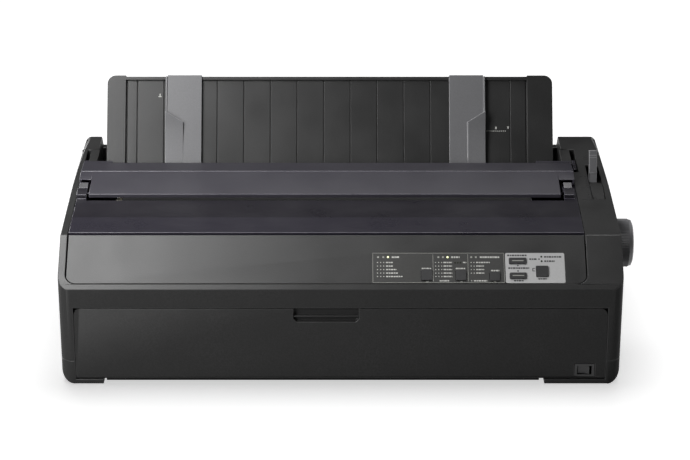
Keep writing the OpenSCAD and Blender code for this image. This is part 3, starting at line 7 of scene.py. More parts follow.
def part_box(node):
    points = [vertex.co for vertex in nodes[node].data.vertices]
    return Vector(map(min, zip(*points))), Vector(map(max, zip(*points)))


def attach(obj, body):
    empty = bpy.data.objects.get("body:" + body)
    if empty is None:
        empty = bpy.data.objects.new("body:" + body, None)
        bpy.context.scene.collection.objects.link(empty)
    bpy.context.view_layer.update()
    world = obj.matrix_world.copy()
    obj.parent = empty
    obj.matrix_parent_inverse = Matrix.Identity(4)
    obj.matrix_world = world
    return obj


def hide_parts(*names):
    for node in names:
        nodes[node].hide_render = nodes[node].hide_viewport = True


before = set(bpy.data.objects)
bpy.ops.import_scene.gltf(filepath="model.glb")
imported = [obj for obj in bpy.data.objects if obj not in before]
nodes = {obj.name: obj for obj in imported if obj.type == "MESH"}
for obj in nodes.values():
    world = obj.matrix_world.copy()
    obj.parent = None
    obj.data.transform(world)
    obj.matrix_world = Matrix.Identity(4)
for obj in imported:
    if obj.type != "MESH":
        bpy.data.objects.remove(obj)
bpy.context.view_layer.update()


# ---------------------------------------------------------------- table, lamps and camera
# The printer stands on a plain white sweep. A soft lamp hangs above it to the left, so that every
# face darkens to the right. Others stand in front on the left and behind, and a wide one is overhead.

def mm(x, y, z):
    """A place in millimetres, x from the case's middle and y behind its front face, in metres."""
    middle_x, half_depth = 9.6, 175
    return Vector(((x - middle_x) / 1000, (y - half_depth) / 1000, z / 1000))


def hex_colour(code):
    """An sRGB hex colour as the linear colour that a shader socket takes, by the sRGB curve."""
    parts = [int(code[i:i + 2], 16) / 255 for i in (1, 3, 5)]
    return [p / 12.92 if p <= 0.04045 else ((p + 0.055) / 1.055) ** 2.4 for p in parts] + [1.0]


def add(tree, kind, inputs=None, **settings):
    """Adds one shader node with its settings, its socket values and the links into it."""
    made = tree.nodes.new(kind)
    for name, value in settings.items():
        setattr(made, name, value)
    for socket, value in (inputs or {}).items():
        if isinstance(value, bpy.types.NodeSocket):
            tree.links.new(value, made.inputs[socket])
        else:
            made.inputs[socket].default_value = value
    return made


scene = bpy.context.scene
scene.view_settings.view_transform = "Standard"
lens_data = bpy.data.cameras.new("camera")
lens_data.sensor_fit = "HORIZONTAL"
lens_data.sensor_width = 36
lens_data.lens = 116.9
lens_data.shift_x = 0.0062
lens_data.clip_end = 50
camera = bpy.data.objects.new("camera", lens_data)
camera.location = mm(0, -2231.4, 1094.7)
degrees_down = 22.2
camera.rotation_euler = (math.radians(90 - degrees_down), 0, 0)
scene.collection.objects.link(camera)
scene.camera = camera


def soft_lamp(name, place, target, size, watts):
    """A rectangular softbox at place, turned to face target, both in millimetres. size is in metres."""
    data = bpy.data.lights.new(name, "AREA")
    data.shape = "RECTANGLE"
    data.size, data.size_y = size
    data.energy = watts
    lamp = bpy.data.objects.new(name, data)
    lamp.location = mm(*place)
    lamp.rotation_euler = (mm(*target) - mm(*place)).to_track_quat("-Z", "Y").to_euler()
    scene.collection.objects.link(lamp)
    return lamp


above_left = soft_lamp("lamp_above_left", (-500, -170, 900), (-320, 60, 100), (0.45, 0.6), watts=9)
soft_lamp("lamp_overhead", (-100, 1000, 3000), (0, 100, 0), (2.0, 2.0), watts=62)
behind = soft_lamp("lamp_behind", (-1300, 1250, 380), (0, 300, 80), (1.0, 0.6), watts=16)
front_left = soft_lamp("lamp_front_left", (-740, -700, 600), (-200, 100, 140), (0.6, 0.6), watts=12)

# The studio's pale walls give a weak, even fill light.
studio = bpy.data.worlds.new("studio")
studio.use_nodes = True
scene.world = studio
walls = studio.node_tree.nodes["Background"]
walls.inputs["Color"].default_value = hex_colour("#f0f0f0")
walls.inputs["Strength"].default_value = 0.07

# The sweep is matt white paper. What is seen of it is lifted to white by a glow of its own, and the
# printer's soft shadow on it stays.
paper_glow = 0.6
sweep_shape = bmesh.new()
bmesh.ops.create_grid(sweep_shape, x_segments=1, y_segments=1, size=8)
sweep_mesh = bpy.data.meshes.new("sweep")
sweep_shape.to_mesh(sweep_mesh)
sweep_shape.free()
sweep = bpy.data.objects.new("sweep", sweep_mesh)
scene.collection.objects.link(sweep)
paper = bpy.data.materials.new("matt_white_paper")
paper.use_nodes = True
paper_tree = paper.node_tree
paper_tree.nodes.clear()
rays = add(paper_tree, "ShaderNodeLightPath").outputs
seen = rays["Is Camera Ray"]
for kind in ("Is Glossy Ray", "Is Transmission Ray"):
    seen = add(paper_tree, "ShaderNodeMath", {0: seen, 1: rays[kind]}, operation="MAXIMUM").outputs[0]
lift = add(paper_tree, "ShaderNodeMath", {0: seen, 1: paper_glow}, operation="MULTIPLY")
matt = add(paper_tree, "ShaderNodeBsdfDiffuse", {"Color": hex_colour("#f4f4f4")})
glow = add(paper_tree, "ShaderNodeEmission", {"Color": hex_colour("#ffffff"), "Strength": lift.outputs[0]})
both = add(paper_tree, "ShaderNodeAddShader", {0: matt.outputs[0], 1: glow.outputs[0]})
add(paper_tree, "ShaderNodeOutputMaterial", {"Surface": both.outputs[0]})
sweep_mesh.materials.append(paper)

# Flags keep the three near lamps off the paper, so that its shadow comes from overhead alone.
flagged = bpy.data.collections.new("flagged_off")
flagged.objects.link(sweep)
flagged.collection_objects[0].light_linking.link_state = "EXCLUDE"
for lamp in (above_left, front_left, behind):
    lamp.light_linking.receiver_collection = flagged


# ---------------------------------------------------------------- lower case and feet
# The lower half of the case is a thick tray moulded in charcoal ABS. Four feet are part of it, and
# a soft rubber pad is pressed into each. It takes the front cover's hinge and the screws from below.

def new_material(name):
    """A material, its node tree, its surface shader and the coordinates of the object it is on."""
    material = bpy.data.materials.new(name)
    material.use_nodes = True
    tree = material.node_tree
    return material, tree, tree.nodes["Principled BSDF"], add(tree, "ShaderNodeTexCoord").outputs["Object"]


def moulded_plastic(name, tint, shade, grain, relief, roughness, specular=0.5, painted_patch=None):
    """Moulded plastic: a cloudy tint and an eroded grain of the given size and depth in metres.
    painted_patch is two corners of a patch, as seen from above, and the colour painted there, as painted
    light or shade."""
    cloud_scale, roughness_spread, plastic_ior = 22, 0.04, 1.54
    material, tree, surface, place = new_material(name)
    clouds = add(tree, "ShaderNodeTexNoise", {"Vector": place, "Scale": cloud_scale, "Detail": 3})
    grit = add(tree, "ShaderNodeTexNoise", {"Vector": place, "Scale": 1 / grain, "Detail": 2})
    speck = add(tree, "ShaderNodeMapRange", {"Value": grit.outputs["Fac"], 1: 0.3, 2: 0.7})
    blend = add(tree, "ShaderNodeMath", {0: clouds.outputs["Fac"], 1: speck.outputs[0]}, operation="MULTIPLY")
    colour = add(tree, "ShaderNodeMix", {0: blend.outputs[0], 6: hex_colour(shade), 7: hex_colour(tint)},
                 data_type="RGBA").outputs[2]
    if painted_patch:
        low, high, patch_colour = painted_patch
        split = add(tree, "ShaderNodeSeparateXYZ", {0: place})
        inside = 1.0
        for axis in (0, 1):
            for value, test in ((low[axis], "GREATER_THAN"), (high[axis], "LESS_THAN")):
                step = add(tree, "ShaderNodeMath", {0: split.outputs[axis], 1: value}, operation=test)
                inside = add(tree, "ShaderNodeMath", {0: inside, 1: step.outputs[0]},
                             operation="MULTIPLY").outputs[0]
        colour = add(tree, "ShaderNodeMix", {0: inside, 6: colour, 7: hex_colour(patch_colour)},
                     data_type="RGBA").outputs[2]
    rough = add(tree, "ShaderNodeMapRange", {"Value": clouds.outputs["Fac"], 1: 0.3, 2: 0.7,
                                             3: roughness - roughness_spread,
                                             4: roughness + roughness_spread})
    bump = add(tree, "ShaderNodeBump", {"Height": grit.outputs["Fac"], "Distance": relief, "Strength": 1.0})
    tree.links.new(colour, surface.inputs["Base Color"])
    tree.links.new(rough.outputs[0], surface.inputs["Roughness"])
    tree.links.new(bump.outputs[0], surface.inputs["Normal"])
    surface.inputs["IOR"].default_value = plastic_ior
    surface.inputs["Specular IOR Level"].default_value = specular
    return material


def dress(node, material):
    """Gives a material to a CAD node that keeps its own shape."""
    mesh = nodes[node].data
    mesh.materials.clear()
    mesh.materials.append(material)


def make_piece(name, shape, materials, body, stands_for=(), smooth_below=50):
    """Turns a finished bmesh into a piece that rides on a body and takes the given finish. Edges that
    turn by fewer degrees than smooth_below are shaded smooth."""
    mesh = bpy.data.meshes.new(name)
    shape.to_mesh(mesh)
    shape.free()
    for face in mesh.polygons:
        face.use_smooth = True
    mesh.set_sharp_from_angle(angle=math.radians(smooth_below))
    for material in materials:
        mesh.materials.append(material)
    piece = bpy.data.objects.new(name, mesh)
    scene.collection.objects.link(piece)
    normals = piece.modifiers.new("flat_faces", "WEIGHTED_NORMAL")
    normals.keep_sharp = True
    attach(piece, body)
    if stands_for:
        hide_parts(*stands_for)


def moulding_copy(node):
    """A copy of a CAD node's mesh, with its loose triangles merged and its flat faces made whole."""
    same_point, same_plane = 2e-6, math.radians(0.8)
    shape = bmesh.new()
    shape.from_mesh(nodes[node].data)
    bmesh.ops.remove_doubles(shape, verts=shape.verts, dist=same_point)
    bmesh.ops.dissolve_limit(shape, angle_limit=same_plane, verts=shape.verts, edges=shape.edges)
    return shape


def round_edges(shape, radius, steps=2, shortest=0.0012, sharper=28, where=None):
    """Rounds the edges that are longer than shortest, in metres, turn by more than sharper, in
    degrees, and pass the test of their place. The new faces take the second material: a glossier edge,
    painted paler as a highlight in most finishes."""
    sharp = [e for e in shape.edges
             if e.is_manifold and e.calc_length() > shortest and e.calc_face_angle() > math.radians(sharper)
             and (where is None or where((e.verts[0].co + e.verts[1].co) / 2))]
    made = bmesh.ops.bevel(shape, geom=sharp, offset=radius, offset_type="OFFSET", segments=steps,
                           profile=0.5, affect="EDGES", clamp_overlap=False, material=-1)
    for face in made["faces"]:
        face.material_index = 1


def softened(node, name, materials, body, slot, radius, **choices):
    """Stands for a CAD node with a copy whose edges are rounded. It stays inside the node's box."""
    shape = moulding_copy(node)
    round_edges(shape, radius, **choices)
    low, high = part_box(node)
    for vert in shape.verts:
        vert.co = Vector(min(max(c, a), b) for c, a, b in zip(vert.co, low, high))
    make_piece(name, shape, materials, body, [node])


# ABS with a spark-eroded matt grain. The grain is drawn four times as coarse as the real 0.4 mm,
# so that it shows. Edges are smoother, where hands and cloths polish them, and so catch the light.
charcoal_abs = moulded_plastic("charcoal_abs_eroded", "#333333", "#2a2a2a", grain=0.0016, relief=0.00008,
                               roughness=0.5, specular=0.05)
worn_charcoal = moulded_plastic("charcoal_abs_polished_edge", "#303030", "#272727", grain=0.0022,
                                relief=0.00002, roughness=0.36, specular=0.3)
case_finish = [charcoal_abs, worn_charcoal]
softened("lower_case", "case_base_moulding", case_finish, "chassis", "case_plastic", radius=0.0006)

# Nitrile rubber, dull and almost black, with a fine moulded skin.
foot_rubber = moulded_plastic("black_nitrile_rubber", "#232323", "#191919", grain=0.001, relief=0.00005,
                              roughness=0.8, specular=0.3)
dress("rubber_feet", foot_rubber)


# ---------------------------------------------------------------- upper case
# The upper half is one big charcoal ABS moulding with openings for the covers, the sheet guide, the
# lever and the paper. Its upward faces are satin and painted darker, as painted shade. The mould leaves a
# scale of ticks by the lever.

# The same ABS from a smoother part of the mould, with a soft sheen from the lamps. It is painted darker
# than the case, a painted shade on faces that look up. Its grain is drawn several times as coarse as the real
# one.
satin_charcoal_painted_shade = moulded_plastic("charcoal_abs_satin_painted_shade", "#232323", "#1d1d1d", grain=0.0014, relief=0.00008,
                                 roughness=0.38, specular=0.38)
satin_finish = [satin_charcoal_painted_shade, worn_charcoal]
shape = moulding_copy("upper_case")

# The thin rims of the sockets in the back, between these corners, keep their sharp edges.
sockets_low, sockets_high = mm(-110, 325, 0), mm(250, 350, 60)
round_edges(shape, radius=0.0008, steps=3, where=lambda at: (
    at.y < sockets_low.y or at.z > sockets_high.z or not sockets_low.x < at.x < sockets_high.x))
shape.normal_update()
# The faces that look up take the darker satin copy, a painted shade.
faces_up = 0.6
for face in shape.faces:
    if face.normal.z > faces_up:
        face.material_index = 2
make_piece("case_top_moulding", shape, [charcoal_abs, worn_charcoal, satin_charcoal_painted_shade], "chassis",
           ["upper_case"])


def raised_marks(name, place, marks, materials, body, height):
    """Thin bars that stand on a plane. place carries (x, up the plane, out of it) to where it is, and
    each mark is its left, right, low and high edge. Those and the height are in millimetres."""
    shape = bmesh.new()
    for x0, x1, s0, s1 in marks:
        centre = Matrix.Translation(((x0 + x1) / 2000, (s0 + s1) / 2000, 0))
        size = Matrix.Diagonal(((x1 - x0) / 1000, (s1 - s0) / 1000, 2 * height / 1000, 1))
        bmesh.ops.create_cube(shape, size=1, matrix=place @ centre @ size)
    make_piece(name, shape, materials, body)


# The case's top rises 4.5 degrees to the back. The scale lies left of the lever's slot.
case_top = Matrix.Translation(mm(0, 51.49, 157.16)) @ Matrix.Rotation(math.radians(4.5), 4, "X")
scale_marks = [(282.5, 285.5, s, s + 1.2) for s in range(90, 156, 6)]
scale_marks += [(274, 280.5, 90, 92), (276, 280.5, 120, 122), (278, 280.5, 150, 152)]
scale_marks += [(286.8, 291.2, s, s + 1.6) for s in (197, 202, 207)]
raised_marks("lever_scale", case_top, scale_marks, [worn_charcoal], "chassis", height=0.25)


# ---------------------------------------------------------------- control panel housing
# The sloping panel is a moulding of its own in the same charcoal ABS, clipped into the upper case.
# It has shallow recesses for two printed labels and holes for the keys and lenses.

# The panel is drawn this much narrower at each side, so that its seam shows as a dark line.
wider_seam, at_the_side = 0.0007, 0.0004
shape = moulding_copy("control_panel_housing")
panel_low, panel_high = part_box("control_panel_housing")
for vert in shape.verts:
    for side, inward in ((panel_low.x, 1), (panel_high.x, -1)):
        if abs(vert.co.x - side) < at_the_side:
            vert.co.x += inward * wider_seam
round_edges(shape, radius=0.0006)
make_piece("control_panel_moulding", shape, satin_finish, "chassis",
           ["control_panel_housing"])


# ---------------------------------------------------------------- front cover
# A flat charcoal ABS door, hinged along its lower edge, with a finger pull cut in its top edge.

softened("front_cover", "front_cover_moulding", case_finish, "front_cover", "case_plastic", radius=0.0006)


# ---------------------------------------------------------------- power switch
# A snap-in rocker switch in the front, moulded in black nylon. The rocker turns in the switch's body.

# Nylon from a polished mould: black with a low sheen. Its rounded edges are painted paler, as a painted
# highlight.
black_nylon = moulded_plastic("black_nylon_moulded", "#1d1d1e", "#151516", grain=0.0012, relief=0.00002,
                              roughness=0.42)
nylon_edge_highlight = moulded_plastic("black_nylon_painted_edge_highlight", "#2a2a2b", "#222223", grain=0.0012, relief=0.00001,
                             roughness=0.32)
black_finish = [black_nylon, nylon_edge_highlight]
dress("power_switch_body", black_nylon)
softened("power_rocker", "power_switch_rocker", black_finish, "power_rocker", "black_plastic", radius=0.0004)


# ---------------------------------------------------------------- printed labels and lamps
# Two polyester labels are stuck in the panel's recesses: a dark one with pale print, in three
# framed groups, and a silver one with dark print. The print is plain bars, dots and ticks.

# Polyester film, smoother than the case: one almost black, the other a flat silver grey.
dark_label = moulded_plastic("dark_polyester_label", "#313130", "#2b2b2a", grain=0.003, relief=0.00001,
                             roughness=0.47, specular=0.25)
dress("panel_overlay", dark_label)
silver_label = moulded_plastic("silver_polyester_label", "#989898", "#8e8e8e", grain=0.0015, relief=0.00001,
                               roughness=0.4)
dress("button_plate", silver_label)

# Screen ink lies on the film in a thin, even coat with hardly any relief.
pale_ink = moulded_plastic("pale_grey_screen_ink", "#a6a6a2", "#8c8c88", grain=0.0012, relief=0.000005,
                           roughness=0.55)
line_ink = moulded_plastic("dull_grey_screen_ink", "#82827e", "#74746f", grain=0.002, relief=0.000005,
                           roughness=0.5)
dark_ink = moulded_plastic("black_screen_ink", "#1e1e20", "#17171a", grain=0.0012, relief=0.000005,
                           roughness=0.5)

# The panel's face rises 40 degrees to the back. Places on it are x and the way up it, in millimetres.
panel = Matrix.Translation(mm(0, 5.3, 118.4)) @ Matrix.Rotation(math.radians(40), 4, "X")


def dashes(x0, x1, s, tall=1.5, lengths=(2.3, 1.5, 3.0, 1.9), space=0.55, shortest=0.5):
    """A printed bar from x0 to x1, broken into short strokes, centred on height s. A last stroke that
    would come out shorter than shortest is left off."""
    made = []
    while True:
        end = min(x0 + lengths[len(made) % len(lengths)], x1)
        if end - x0 < shortest:
            return made
        made.append((x0, end, s - tall / 2, s + tall / 2))
        x0 = end + space


def dots(x, heights, wide=1.1):
    """Square dots one above the other at x."""
    return [(x - wide / 2, x + wide / 2, s - wide / 2, s + wide / 2) for s in heights]


rows = (26.3, 21.9, 17.6, 13.3, 9.1)
lamp_row = 32.8
pale = []
for x in (40.2, 43.7, 47.0):
    pale += dots(x, rows)
for x1, s in zip((57, 57, 60.9, 62.4, 67.4), rows):
    pale += dashes(49.5, x1, s)
pale += dashes(55.9, 64.4, lamp_row, 2.0) + dashes(88.5, 98.8, 18.9, 1.6)
for x in (103.8, 107.1, 110.4):
    pale += dots(x, rows)
for s in rows:
    pale += dashes(112.4, 121.7, s, lengths=(3.2, 1.6, 2.2))
pale += dashes(121, 130.3, lamp_row, 2.0) + dashes(133.8, 137.4, 26.3) + dashes(125.7, 136, 18.9, 1.6)
for x in (142.7, 145.8):
    pale += dots(x, rows[:4])
pale += dashes(148.1, 163.1, 26.3)
for s in rows[1:4]:
    pale += dashes(148.1, 156.7, s, lengths=(1.8, 2.8, 1.4))
pale += dashes(152.4, 174.6, lamp_row, 2.0) + dashes(164.2, 173.2, 16.4, 1.6)
pale += dashes(107.8, 118.2, 3.9) + dots(142.7, (3.9,)) + dashes(145.3, 159.6, 3.9)
raised_marks("overlay_print", panel, pale, [pale_ink], "chassis", height=0.06)

lines = [(34.9, 178.8, 37.6, 38.0), (34.9, 178.8, 1.6, 2.0)]
lines += [(34.9, 35.3, 1.6, 38.0), (178.4, 178.8, 1.6, 38.0)]
lines += [(100.8, 101.2, 3.0, 36.5), (139.0, 139.4, 3.0, 36.5)]
for x in (40.9, 46.6, 107, 112, 143, 148):
    lines += dots(x, (lamp_row,), 2.0)
lines += [(x - 1.2, x + 1.2, 2.3, 3.2) for x in (94.5, 131.7, 168.1)]
raised_marks("overlay_lines", panel, lines, [line_ink], "chassis", height=0.05)

dark = dashes(182.4, 204.5, 35.0, 1.9) + dots(193.7, (22.6, 15.9), 1.6) + dashes(183.2, 206, 19.4, 1.9)
dark += dashes(188.9, 199.6, 4.0, 1.7) + dashes(206.5, 214.6, 30.4, 1.9) + dots(217.2, (30.4,), 1.6)
dark += dashes(222.8, 241.8, 33.2, 1.9) + dashes(222.8, 234.4, 27.9, 1.9) + dashes(215.6, 224.8, 6.2, 1.7)
dark += [(209.4, 210.2, 15.5, 19.5), (210.2, 212.4, 18.7, 19.5), (210.2, 212.4, 15.5, 16.3)]
raised_marks("silver_label_print", panel, dark, [dark_ink], "chassis", height=0.06)

# The lenses are clear acrylic pegs over the lamps on the board, dark where the lamp is off. Two are
# lit, and glow a pale yellow green. The ink round each lit one is a green black.
smoke_lens = moulded_plastic("unlit_acrylic_lens", "#30322c", "#272924", grain=0.001, relief=0.00001,
                             roughness=0.2)
dress("indicator_lenses", smoke_lens)
lit_lens = moulded_plastic("lit_acrylic_lens", "#f4f4d2", "#e6e9b4", grain=0.001, relief=0.00001,
                           roughness=0.25)
lit_surface = lit_lens.node_tree.nodes["Principled BSDF"]
lit_surface.inputs["Emission Color"].default_value = hex_colour("#f2f6b0")
lit_surface.inputs["Emission Strength"].default_value = 0.8
halo_ink = moulded_plastic("green_black_screen_ink", "#1f271b", "#192016", grain=0.001, relief=0.000005,
                           roughness=0.4)
lens_r, lens_bulge, halo_r, ink_coat = 0.0012, 0.45, 0.0021, 0.0001
glowing, haloes = bmesh.new(), bmesh.new()
for x, s in ((51.8, 32.9), (117.1, 32.7)):
    dome = panel @ Matrix.Translation((x / 1000, s / 1000, ink_coat)) @ Matrix.Diagonal((1, 1, lens_bulge, 1))
    bmesh.ops.create_uvsphere(glowing, u_segments=20, v_segments=12, radius=lens_r, matrix=dome)
    bmesh.ops.create_cone(haloes, cap_ends=True, segments=24, radius1=halo_r, radius2=halo_r, depth=ink_coat,
                          matrix=panel @ Matrix.Translation((x / 1000, s / 1000, 0)))
make_piece("lit_lamp_lenses", glowing, [lit_lens], "chassis")
make_piece("lamp_surrounds", haloes, [halo_ink], "chassis")


# ---------------------------------------------------------------- keys
# Six flat keys of black ABS stand a little out of the panel. Two of them carry a short printed bar.

# ABS with a fine satin skin, drawn coarser than it is. Its rounded edges are painted paler, as a painted
# highlight.
key_abs = moulded_plastic("black_abs_keys", "#29292a", "#222223", grain=0.0012, relief=0.00002,
                          roughness=0.45, specular=0.3)
key_edge_highlight = moulded_plastic("black_abs_key_painted_edge_highlight", "#3e3e40", "#353537", grain=0.0012, relief=0.00001,
                           roughness=0.35)
key_finish = [key_abs, key_edge_highlight]
for key in ("font", "pitch", "tear_off", "load", "line_feed", "pause"):
    softened("button_" + key, "key_" + key, key_finish, "button_" + key, "black_plastic", radius=0.0004)
key_tops = panel @ Matrix.Translation((0, 0, 0.0014))
for key, s in (("load", 27.9), ("line_feed", 9.7)):
    raised_marks("key_" + key + "_bar", key_tops, [(187.5, 200, s - 0.5, s + 0.5)], [line_ink],
                 "button_" + key, height=0.05)


# ---------------------------------------------------------------- printer cover
# The big front lid is moulded in smoked polycarbonate, so dark that the mechanism hardly shows. Its
# front strip is painted paler than the rest, whose darker tone is painted shade from inside the case. Two
# arms run back to the hinges, and blocks on them carry the guide cover.

# Polycarbonate from a polished mould: glossy, with a violet cast. Its rounded edges are painted pale, as a
# painted highlight.
# The patch over the front strip is painted paler; the darker rest is painted shade.
smoked = moulded_plastic("smoked_polycarbonate", "#1a181f", "#151319", grain=0.002, relief=0.000006,
                         roughness=0.3, painted_patch=(mm(-320, 0, 0), mm(320, 95, 0), "#1f1d25"))
smoked_edge_highlight = moulded_plastic("smoked_polycarbonate_painted_edge_highlight", "#4a4850", "#403e46", grain=0.002,
                              relief=0.000004, roughness=0.28)
smoke_density = 0.95
for material in (smoked, smoked_edge_highlight):
    material.node_tree.nodes["Principled BSDF"].inputs["Alpha"].default_value = smoke_density
smoked_finish = [smoked, smoked_edge_highlight]
softened("printer_cover", "printer_cover_moulding", smoked_finish, "printer_cover", "smoked_plastic",
         radius=0.0005)


# ---------------------------------------------------------------- paper guide cover
# A second smoked moulding over the paper exit, which snaps on pins between the lid's blocks. It rises
# to a ridge with a rounded bead, painted pale as a highlight. Its front face is satin and painted paler than
# the lid, as a painted sheen, and its back behind the ridge is painted darker, as painted shade.

# A satin copy of the smoked plastic, painted paler as a sheen, with its back behind the ridge painted darker
# as shade.
smoked_painted_sheen_and_shade = moulded_plastic("smoked_polycarbonate_satin_painted_sheen_and_shade", "#2b2931", "#232129", grain=0.0014,
                               relief=0.00003, roughness=0.42,
                               painted_patch=(mm(-320, 194, 0), mm(320, 260, 0), "#1d1b23"))
softened("paper_guide_cover", "paper_guide_cover_moulding", [smoked_painted_sheen_and_shade, smoked_edge_highlight], "paper_guide_cover",
         "smoked_plastic", radius=0.0006)
# The bead takes the pale edge colour, as the ridge's painted highlight.
bead_r, bead_length = 0.0009, 0.5684
bead = bmesh.new()
bmesh.ops.create_cone(bead, cap_ends=True, segments=20, radius1=bead_r, radius2=bead_r, depth=bead_length,
                      matrix=Matrix.Translation(mm(-15.8, 194, 177.9))
                      @ Matrix.Rotation(math.radians(90), 4, "Y"))
make_piece("paper_guide_cover_bead", bead, [smoked_edge_highlight], "paper_guide_cover")


# ---------------------------------------------------------------- sheet guide
# The upright paper rest is a charcoal ABS moulding with a thick rail at each side and grooves down
# the sheet between them. Short printed ticks show where the paper's edges go.

softened("sheet_guide", "sheet_guide_moulding", satin_finish, "sheet_guide", "case_plastic", radius=0.0005,
         shortest=0.0007)

# The guide leans back 29 degrees. Places on it are x, the way up it and out of it.
guide_lean, sheet_depth = 29, 0.003
guide = Matrix.Translation(mm(0, 245, 172.0)) @ Matrix.Rotation(math.radians(90 - guide_lean), 4, "X")
ticks = [(-214.6, -213.2, 78, 81), (-216, -212, 77, 78)]
ticks += [(170.0 + 2.4 * i, 171.0 + 2.4 * i, 35.6, 36.8) for i in range(11)]
ticks += [(182.5, 184.5, 38.5, 41.5), (197.0, 198.6, 39, 42)]
raised_marks("sheet_guide_ticks", guide @ Matrix.Translation((0, 0, -sheet_depth)), ticks, [pale_ink],
             "sheet_guide", height=0.06)


# ---------------------------------------------------------------- edge guides
# Two mid grey ABS slides hook over the sheet guide. The lower half of each carries a fence whose
# slanting top flares forward, so that the paper slips in behind it. A narrow flange runs up from it.

# The same eroded ABS in grey. Its rounded edges are painted paler, as a painted highlight.
handle_abs = moulded_plastic("mid_grey_abs", "#5b5b5d", "#505052", grain=0.0014, relief=0.00003,
                             roughness=0.48)
handle_edge_highlight = moulded_plastic("mid_grey_abs_painted_edge_highlight", "#7c7c7e", "#707072", grain=0.0014, relief=0.00002,
                              roughness=0.38)
handle_finish = [handle_abs, handle_edge_highlight]

# In millimetres, measured up the guide and out of it. The fence is cut across at the bends, so that
# its front can curve. A vertex that stands out beyond fence_front belongs to that front.
bends = (6, 14, 22, 30, 37, 43, 49, 54)
fence_front, fence_foot, flare_length, foot_depth, flare_depth = 9.8, -3.3, 60, 3.0, 7.3
flange_w, flange_d, flange_out, flange_foot, flange_below_top = 1.8, 4.6, 1.4, 50, 1.5
for node, flange_x in (("edge_guide_left", -205.9), ("edge_guide_right", 169.7)):
    shape = moulding_copy(node)
    bmesh.ops.transform(shape, matrix=guide.inverted(), verts=shape.verts)
    for height in bends:
        bmesh.ops.bisect_plane(shape, geom=[*shape.verts, *shape.edges, *shape.faces], dist=1e-6,
                               plane_co=(0, height / 1000, 0), plane_no=(0, 1, 0))
    for vert in shape.verts:
        if vert.co.z > fence_front / 1000:
            share = min(max((vert.co.y * 1000 - fence_foot) / flare_length, 0), 1)
            vert.co.z = (foot_depth + flare_depth * share ** 3) / 1000
    top = max(vert.co.y for vert in shape.verts) * 1000 - flange_below_top
    middle = Matrix.Translation((flange_x / 1000, (top + flange_foot) / 2000, flange_out / 1000))
    size = Matrix.Diagonal((flange_w / 1000, (top - flange_foot) / 1000, flange_d / 1000, 1))
    bmesh.ops.create_cube(shape, size=1, matrix=middle @ size)
    bmesh.ops.transform(shape, matrix=guide, verts=shape.verts)
    round_edges(shape, radius=0.0006, sharper=40)
    make_piece(node + "_moulding", shape, handle_finish, node, [node])


# ---------------------------------------------------------------- release lever
# A grey ABS lever on the right leans back out of a slot. Its grip has two small ribs, and a curved
# charcoal shield turns with it and closes the slot.

lever_pivot = mm(291.8, 175, 110)
shield_r, shield_half = 56.5, 1.8
lever_lean, grip_front = -18.4, -0.0046
shape = moulding_copy("release_lever")
round_edges(shape, radius=0.0006)
for face in shape.faces:
    if all(abs((v.co - lever_pivot).yz.length * 1000 - shield_r) < shield_half for v in face.verts):
        face.material_index = 2
make_piece("release_lever_moulding", shape, [handle_abs, handle_edge_highlight, charcoal_abs], "release_lever",
           ["release_lever"])
lever_front = (Matrix.Translation(lever_pivot) @ Matrix.Rotation(math.radians(lever_lean), 4, "X")
               @ Matrix.Translation((0, grip_front, 0)) @ Matrix.Rotation(math.radians(90), 4, "X"))
# The ribs take the paler edge colour, a painted highlight.
raised_marks("release_lever_ribs", lever_front, [(-4.1, 4.1, s, s + 1.0) for s in (86.2, 88.7)],
             [handle_edge_highlight], "release_lever", height=0.45)


# ---------------------------------------------------------------- paper feed knob
# The knob on the platen's end is turned by hand. It is grey ABS with 96 fine ridges round its rim, a
# bevelled plain edge and a shallow dish in its face.

# The outline is x and the distance from the platen's axis, in millimetres, from the hub to the dish.
knob_outline = [(306, 0), (306, 11), (309.8, 11), (309.8, 26.3), (310.4, 27.2), (323.0, 27.2), (323.6, 26.6),
                (326.7, 25.7), (328.2, 22.2), (327.2, 20.4), (326.9, 9), (327.5, 8.2), (327.5, 0)]
axis_y, axis_z = 106, 125.5
ridges, ridge_depth, rim_r, rim_from, face_from = 96, 0.7, 27.2, 27.1, 323.6
knob = bmesh.new()
outline = [knob.verts.new(mm(x, axis_y, axis_z + r)) for x, r in knob_outline]
outline += [knob.edges.new(pair) for pair in zip(outline, outline[1:])]
bmesh.ops.spin(knob, geom=outline, cent=mm(0, axis_y, axis_z), axis=(1, 0, 0), angle=math.tau,
               steps=2 * ridges, use_merge=True)
bmesh.ops.remove_doubles(knob, verts=knob.verts, dist=1e-6)
for vert in knob.verts:
    out = vert.co - mm(0, axis_y, axis_z)
    turn = round(math.atan2(out.y, out.z) / math.tau * 2 * ridges)
    if math.hypot(out.y, out.z) > rim_from / 1000 and turn % 2:
        vert.co.y -= out.y * ridge_depth / rim_r
        vert.co.z -= out.z * ridge_depth / rim_r
bmesh.ops.recalc_face_normals(knob, faces=knob.faces)
# The bevelled edge and the dished face take the paler edge colour, a painted highlight.
for face in knob.faces:
    if face.calc_center_median().x > mm(face_from, 0, 0).x:
        face.material_index = 1
# The knob's grey is painted lighter than the slides' grey, to make up for the weaker light on the right.
knob_abs_painted_lighter = moulded_plastic("mid_grey_abs_knob_painted_lighter", "#6c6c6e", "#5e5e60", grain=0.0014, relief=0.00002,
                           roughness=0.45)
make_piece("paper_feed_knob_moulding", knob, [knob_abs_painted_lighter, handle_edge_highlight], "platen",
           ["paper_feed_knob"], smooth_below=22)


# ---------------------------------------------------------------- platen, rollers and shafts
# The platen is a black nitrile rubber roller on a ground steel shaft, with small pinch rollers of
# the same rubber under it. The shafts turn in acetal bushes.

